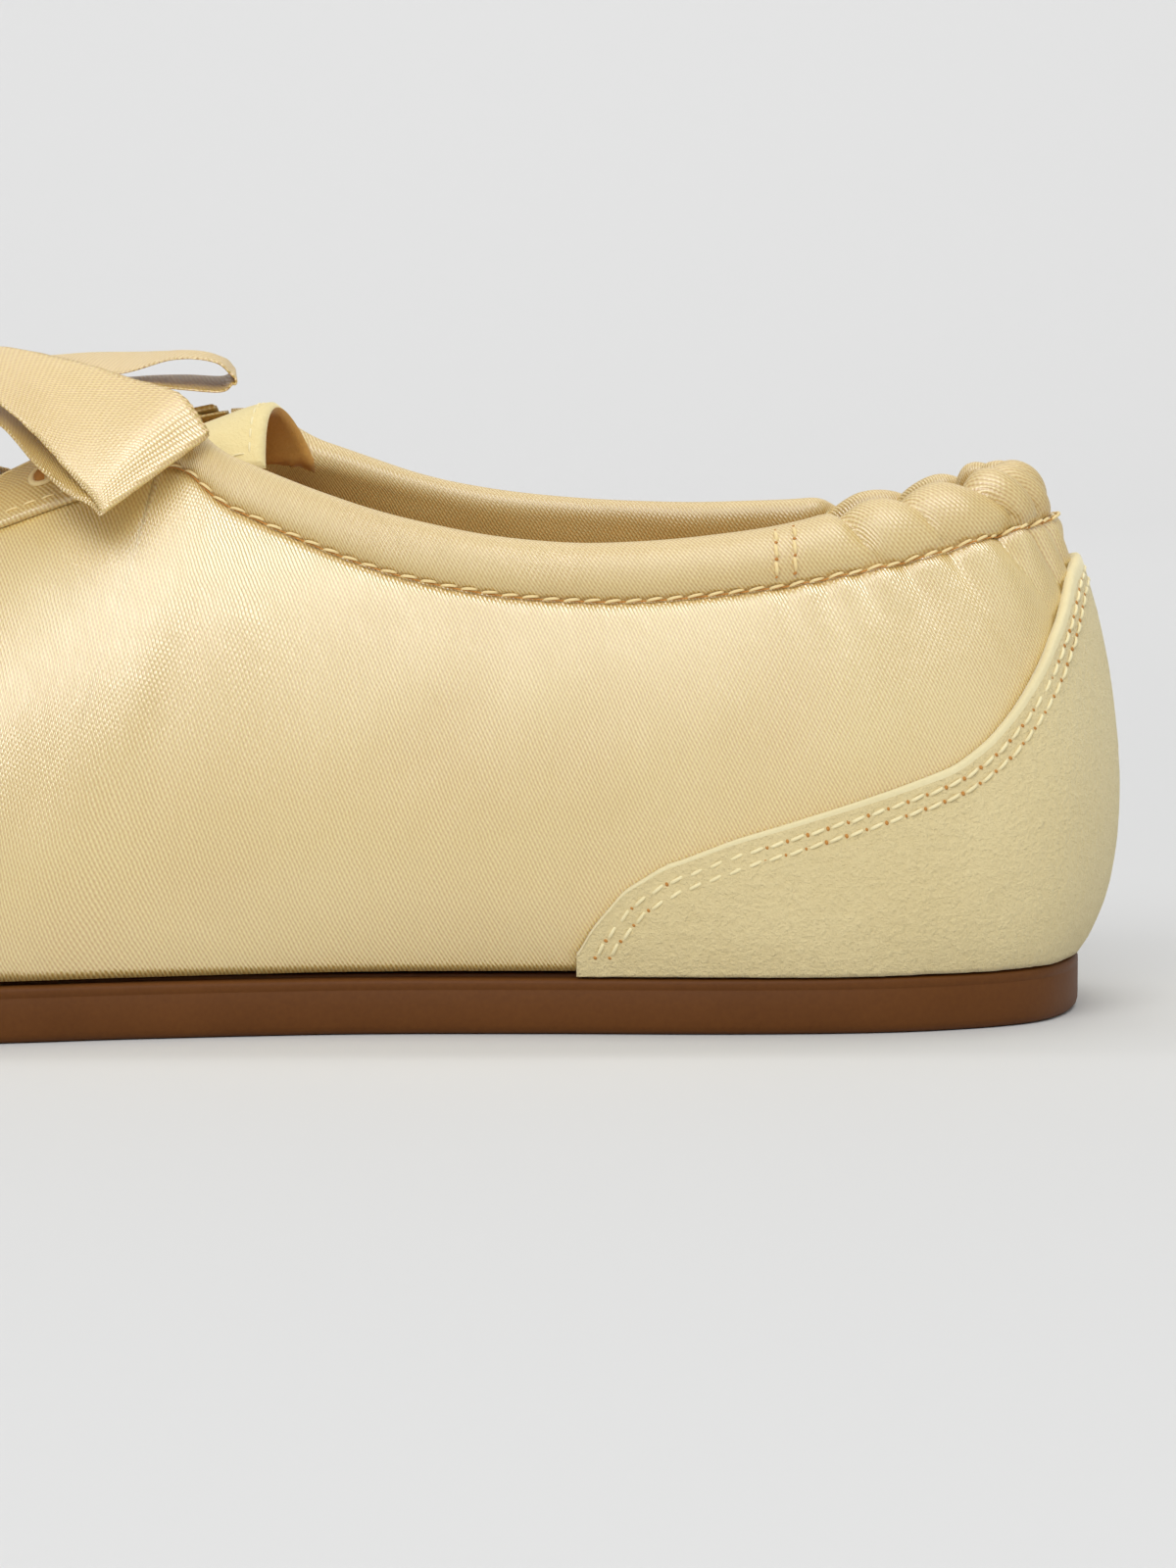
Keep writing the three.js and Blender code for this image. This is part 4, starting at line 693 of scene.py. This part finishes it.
def loop_sheet(name, rows, body, flip=1, n=70, m=28, seed=0):
    ln = [spline([r[k] for r in rows], n) for k in range(4)]; UA, UB, LA, LB = ln; g = np.linspace(0, 1, m)[None, :, None]
    U = UA[:, None] * (1 - g) + UB[:, None] * g; L = LA[:, None] * (1 - g) + LB[:, None] * g
    du = np.gradient(U, axis=0); up = unit(np.cross(UB[:, None] - UA[:, None], du)); up *= np.sign(up[..., 2:3] + 1e-9)
    s = np.concatenate([[0], np.cumsum(np.linalg.norm(np.diff((UA + UB) / 2, axis=0), axis=1))])[:, None]; gg = np.linspace(0, 1, m)[None, :]
    pleat = 0.55 * sstep(0, 2.5, s) * np.exp(-(s / 9) ** 2) * np.sin(3 * math.pi * gg + 0.4) + 0.3 * value_noise(s * 0.09 + seed, gg * 2.1 + 7, seed) * np.minimum(1, s / 6)
    U = U + up * (0.55 * np.sin(math.pi * gg) * np.minimum(1, s / 4) * sstep(s[-1, 0] + 0.1, s[-1, 0] - 5, s) + pleat * sstep(s[-1, 0], s[-1, 0] - 9, s))[..., None]
    L = L + up * (1.0 * pleat * sstep(s[-1, 0], s[-1, 0] - 9, s) - 0.05)[..., None]
    tan = unit(U[-1] - U[-3]); mid = (U[-1] + L[-1]) / 2; rad = (U[-1] - L[-1]) / 2; rl = np.linalg.norm(rad, axis=-1, keepdims=True)
    turn = [mid + rad * math.cos(a) + tan * np.maximum(rl, 0.35) * math.sin(a) for a in np.linspace(0, math.pi, 9)[1:-1]]
    G = np.concatenate([U, np.array(turn), L[::-1]]); return sheet_grid(name, G, body=body, node=name)
LAT_LOOP = [[(149.5,-7.5,78.1),(146.3,-5.4,80.6),(149.5,-7.3,75.8),(146.2,-5.5,76.8)],[(145.5,-14.5,80.4),(144.2,-5.6,84.8),(145.5,-13.5,77.4),(143.5,-5.8,80.5)],
 [(139.2,-21,79.4),(140.8,-6,86.3),(139.3,-20,76.8),(139,-7,81.5)],[(133.5,-24.5,74.6),(132.1,-9,84.7),(134.8,-23.8,72.2),(131,-10.5,80.4)],
 [(129,-28,69.8),(123,-14,82.5),(130.2,-27.8,68.2),(122.5,-15,79.8)],[(126.6,-30,67.6),(116.4,-17.6,80.5),(127,-30,66.8),(116,-18.4,78.4)],
 [(125.6,-31.2,66.3),(112.8,-20,76.1),(125.7,-31.2,65.7),(112.9,-20,75.3)]]
MED_LOOP = [[(146.5,3.9,80.4),(149.3,6.0,78),(146.4,4.1,76.9),(149.3,5.8,75.9)],[(141,4.2,82.2),(143.5,12,83.4),(141,4.4,78.8),(143,11.5,78.8)],
 [(133.5,5,82),(133.5,19,85),(133.5,5,79.8),(133,18,81.2)],[(126.1,6,82.4),(125,22,85.2),(125.4,6.2,81.2),(124.6,21,82)],
 [(119.2,6.5,84.5),(118.5,23.5,85.2),(118.8,6.8,80.7),(118.8,22.5,82.2)],[(113.8,7,84.2),(113.8,24,84.4),(113,7.2,80.3),(114,23.6,82)],
 [(111.2,7.3,82.2),(112.4,24.2,83.2),(111.3,7.3,81.3),(112.5,24.2,82.5)]]
SHEETS = []
o, l, a = loop_sheet("bow_loop_lateral", LAT_LOOP, "loop_lateral", seed=3); SHEETS.append((o, l, a))
o, l, a = loop_sheet("bow_loop_medial", MED_LOOP, "loop_medial", seed=5); SHEETS.append((o, l, a))

KNOT = np.array([151.0, -1.0, 77.4])
th_, ph_ = np.meshgrid(np.linspace(0, math.pi, 60), np.linspace(0, 2 * math.pi, 121), indexing="ij")
yy = -np.cos(th_); rr = np.sin(th_) * np.minimum(1.0, 1 - 0.05 * (1 - np.cos(yy * 9 + 0.8)) * np.sin(th_) - 0.035 * np.abs(value_noise(yy * 3 + 9, ph_ * 1.2 + 4, 12)) * np.sin(th_))
K = KNOT + np.stack([5.6 * rr * np.cos(ph_), 5.6 * yy, 5.4 * rr * np.sin(ph_)], -1)
nc, nr = 60, 121; I = np.arange(nc * nr).reshape(nc, nr); F = np.stack([I[:-1, :-1].ravel(), I[1:, :-1].ravel(), I[1:, 1:].ravel(), I[:-1, 1:].ravel()], 1)
o = make("bow_knot", K.reshape(-1, 3), F, "ribbon", cloth=np.stack([ph_ * 5.4, (yy + 1) * 6.5 + 2.5], -1).reshape(-1, 2), body="upper", slot="ribbon", merge=True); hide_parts("bow_knot")

def over(side, v, s, lift):
    u = np.array([v if side < 0 else N - v]); t = t_below(u, np.array([float(s)])); return (lasted(u, t) + normal(u, t) * lift)[0]
def ridge_at(h, lift): return np.array([h, 0, np.interp(h, [118,130,140,150,158,168], [81,77.2,73.4,68,63.2,57.4]) + lift])
def strip(name, path, half, across, body="upper", m=14, cup=0.0, cut=0.0, sheet=True, wave=0.0):
    p = spline(path, 60); t = unit(np.gradient(p, axis=0)); w = np.array(across, float)[None, :]; w = unit(w - (w * t).sum(-1, keepdims=True) * t); nn = unit(np.cross(w, t)); nn *= np.sign(nn[:, 2:3] + 1e-9)
    f = np.linspace(0, 1, 60); g = np.linspace(-1, 1, m); hw = np.interp(f, *np.array(half).T) if np.ndim(half) else np.full(60, float(half))
    G = p[:, None] + w[:, None] * (g[None, :, None] * hw[:, None, None]) + nn[:, None] * ((cup * (1 - g[None, :] ** 2) + wave * np.sin(f[:, None] * 9 + g[None, :] * 2))[..., None])
    if cut: G = G + t[:, None] * (sstep(0.75, 1.0, f)[:, None] * g[None, :] * cut)[..., None]
    o, l, a = sheet_grid(name, G, width=float(hw.max() * 2), body=body, node=name); SHEETS.append((o, l, a)) if sheet else None; return o
for nm, vl, vm, lf in (("ribbon_cross_lower_under", 10.55, 10.05, 0.5), ("ribbon_cross_lower_over", 10.05, 10.55, 2.6), ("ribbon_cross_upper_under", 9.75, 9.2, 0.5), ("ribbon_cross_upper_over", 9.2, 9.75, 2.6)):
    a, b = over(-1, vl, 8, lf), over(1, vm, 8, lf); a2, b2 = over(-1, vl + (vm - vl) * .2, 2, lf + .3), over(1, vm + (vl - vm) * .2, 2, lf + .3)
    strip(nm, [a, a2, ridge_at((a2[0] + b2[0]) / 2, lf), b2, b], 3.2, (0.9, 0, -0.42), cup=0.25, sheet=False)
for nm, s in (("ribbon_tail_lateral", -1), ("ribbon_tail_medial", 1)):
    v = 9.85; path = [KNOT + np.array([4.2, s * 5.6, -2.6]), over(s, v, 7, 5.8), over(s, v - .05, 15, 3.2), over(s, v - .1, 24, 2.4), over(s, v - .15, 34, 2.4)]
    strip(nm, path, [[0, 3], [.3, 7], [.6, 8.6], [1, 8.6]], (0.97, 0, -0.2), body="tail_" + nm.split("_")[-1], cut=3.0 * s * -1, cup=0.25, wave=0.25, m=24)

# ------------------------------------------------------------------ sole and footbed
def outline(us, d):
    e = 0.02; R = ring(us); D = ring(us + e) - ring(us - e); l = np.hypot(D[:, 0], D[:, 1]); return np.stack([R[:, 0] - D[:, 1] / l * d, R[:, 1] + D[:, 0] / l * d], -1)
def slab(name, prof, mat, node, slot, crown=None):
    us = np.linspace(0, N, 420, endpoint=False); rows = []
    for d, z in prof:
        xy = outline(us, d); sp = np.where(xy[:, 0] > 195, 3 * ((xy[:, 0] - 195) / 50) ** 2, 0); rows.append(np.stack([xy[:, 0], xy[:, 1], z + sp], -1))
    n = len(us); V = np.concatenate(rows); F = []
    for i in range(len(rows) - 1):
        a = np.arange(n); b = (a + 1) % n; F += np.stack([i * n + a, i * n + b, (i + 1) * n + b, (i + 1) * n + a], 1).tolist()
    half = n // 2
    for base, flip in ((0, True), ((len(rows) - 1) * n, False)):
        for j in range(half):
            a, b, c, d = base + j, base + j + 1, base + (n - j - 1) % n, base + (n - j) % n
            q = [a, b, c] if j == 0 else [a, b, d] if j == half - 1 else [a, b, c, d]
            F.append(q[::-1] if flip else q)
    o = make(name, V, F, mat, body="upper", slot=slot)
    o.data.polygons.foreach_set("use_smooth", [len(p.vertices) == 4 and p.index < (len(rows) - 1) * n for p in o.data.polygons])
    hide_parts(node); return o
slab("outsole", [(1.5, 0), (0.6, 0.18), (0.2, 0.6), (0.03, 1.2), (0, 2.0), (0, 5.55), (0.07, 5.68), (0.07, 5.8), (0, 5.92), (0.02, 6.6), (0.16, 6.92), (0.42, 7.08), (1.2, 7.1)], "rubber", "outsole", "rubber")
fb = slab("footbed", [(6.6, 9.25), (6.42, 9.6), (6.42, 11.0), (6.6, 11.9), (7.2, 12.45), (8.2, 12.62)], "footbed", "footbed", "footbed")
for nm, mt in (("heel_stiffener", "board"), ("toe_puff", "board"), ("insole_board", "board"), ("collar_elastic", "elastic")):
    o = bpy.data.objects.get(nm)
    if o is not None: o.data.materials.clear(); o.data.materials.append(M[mt])
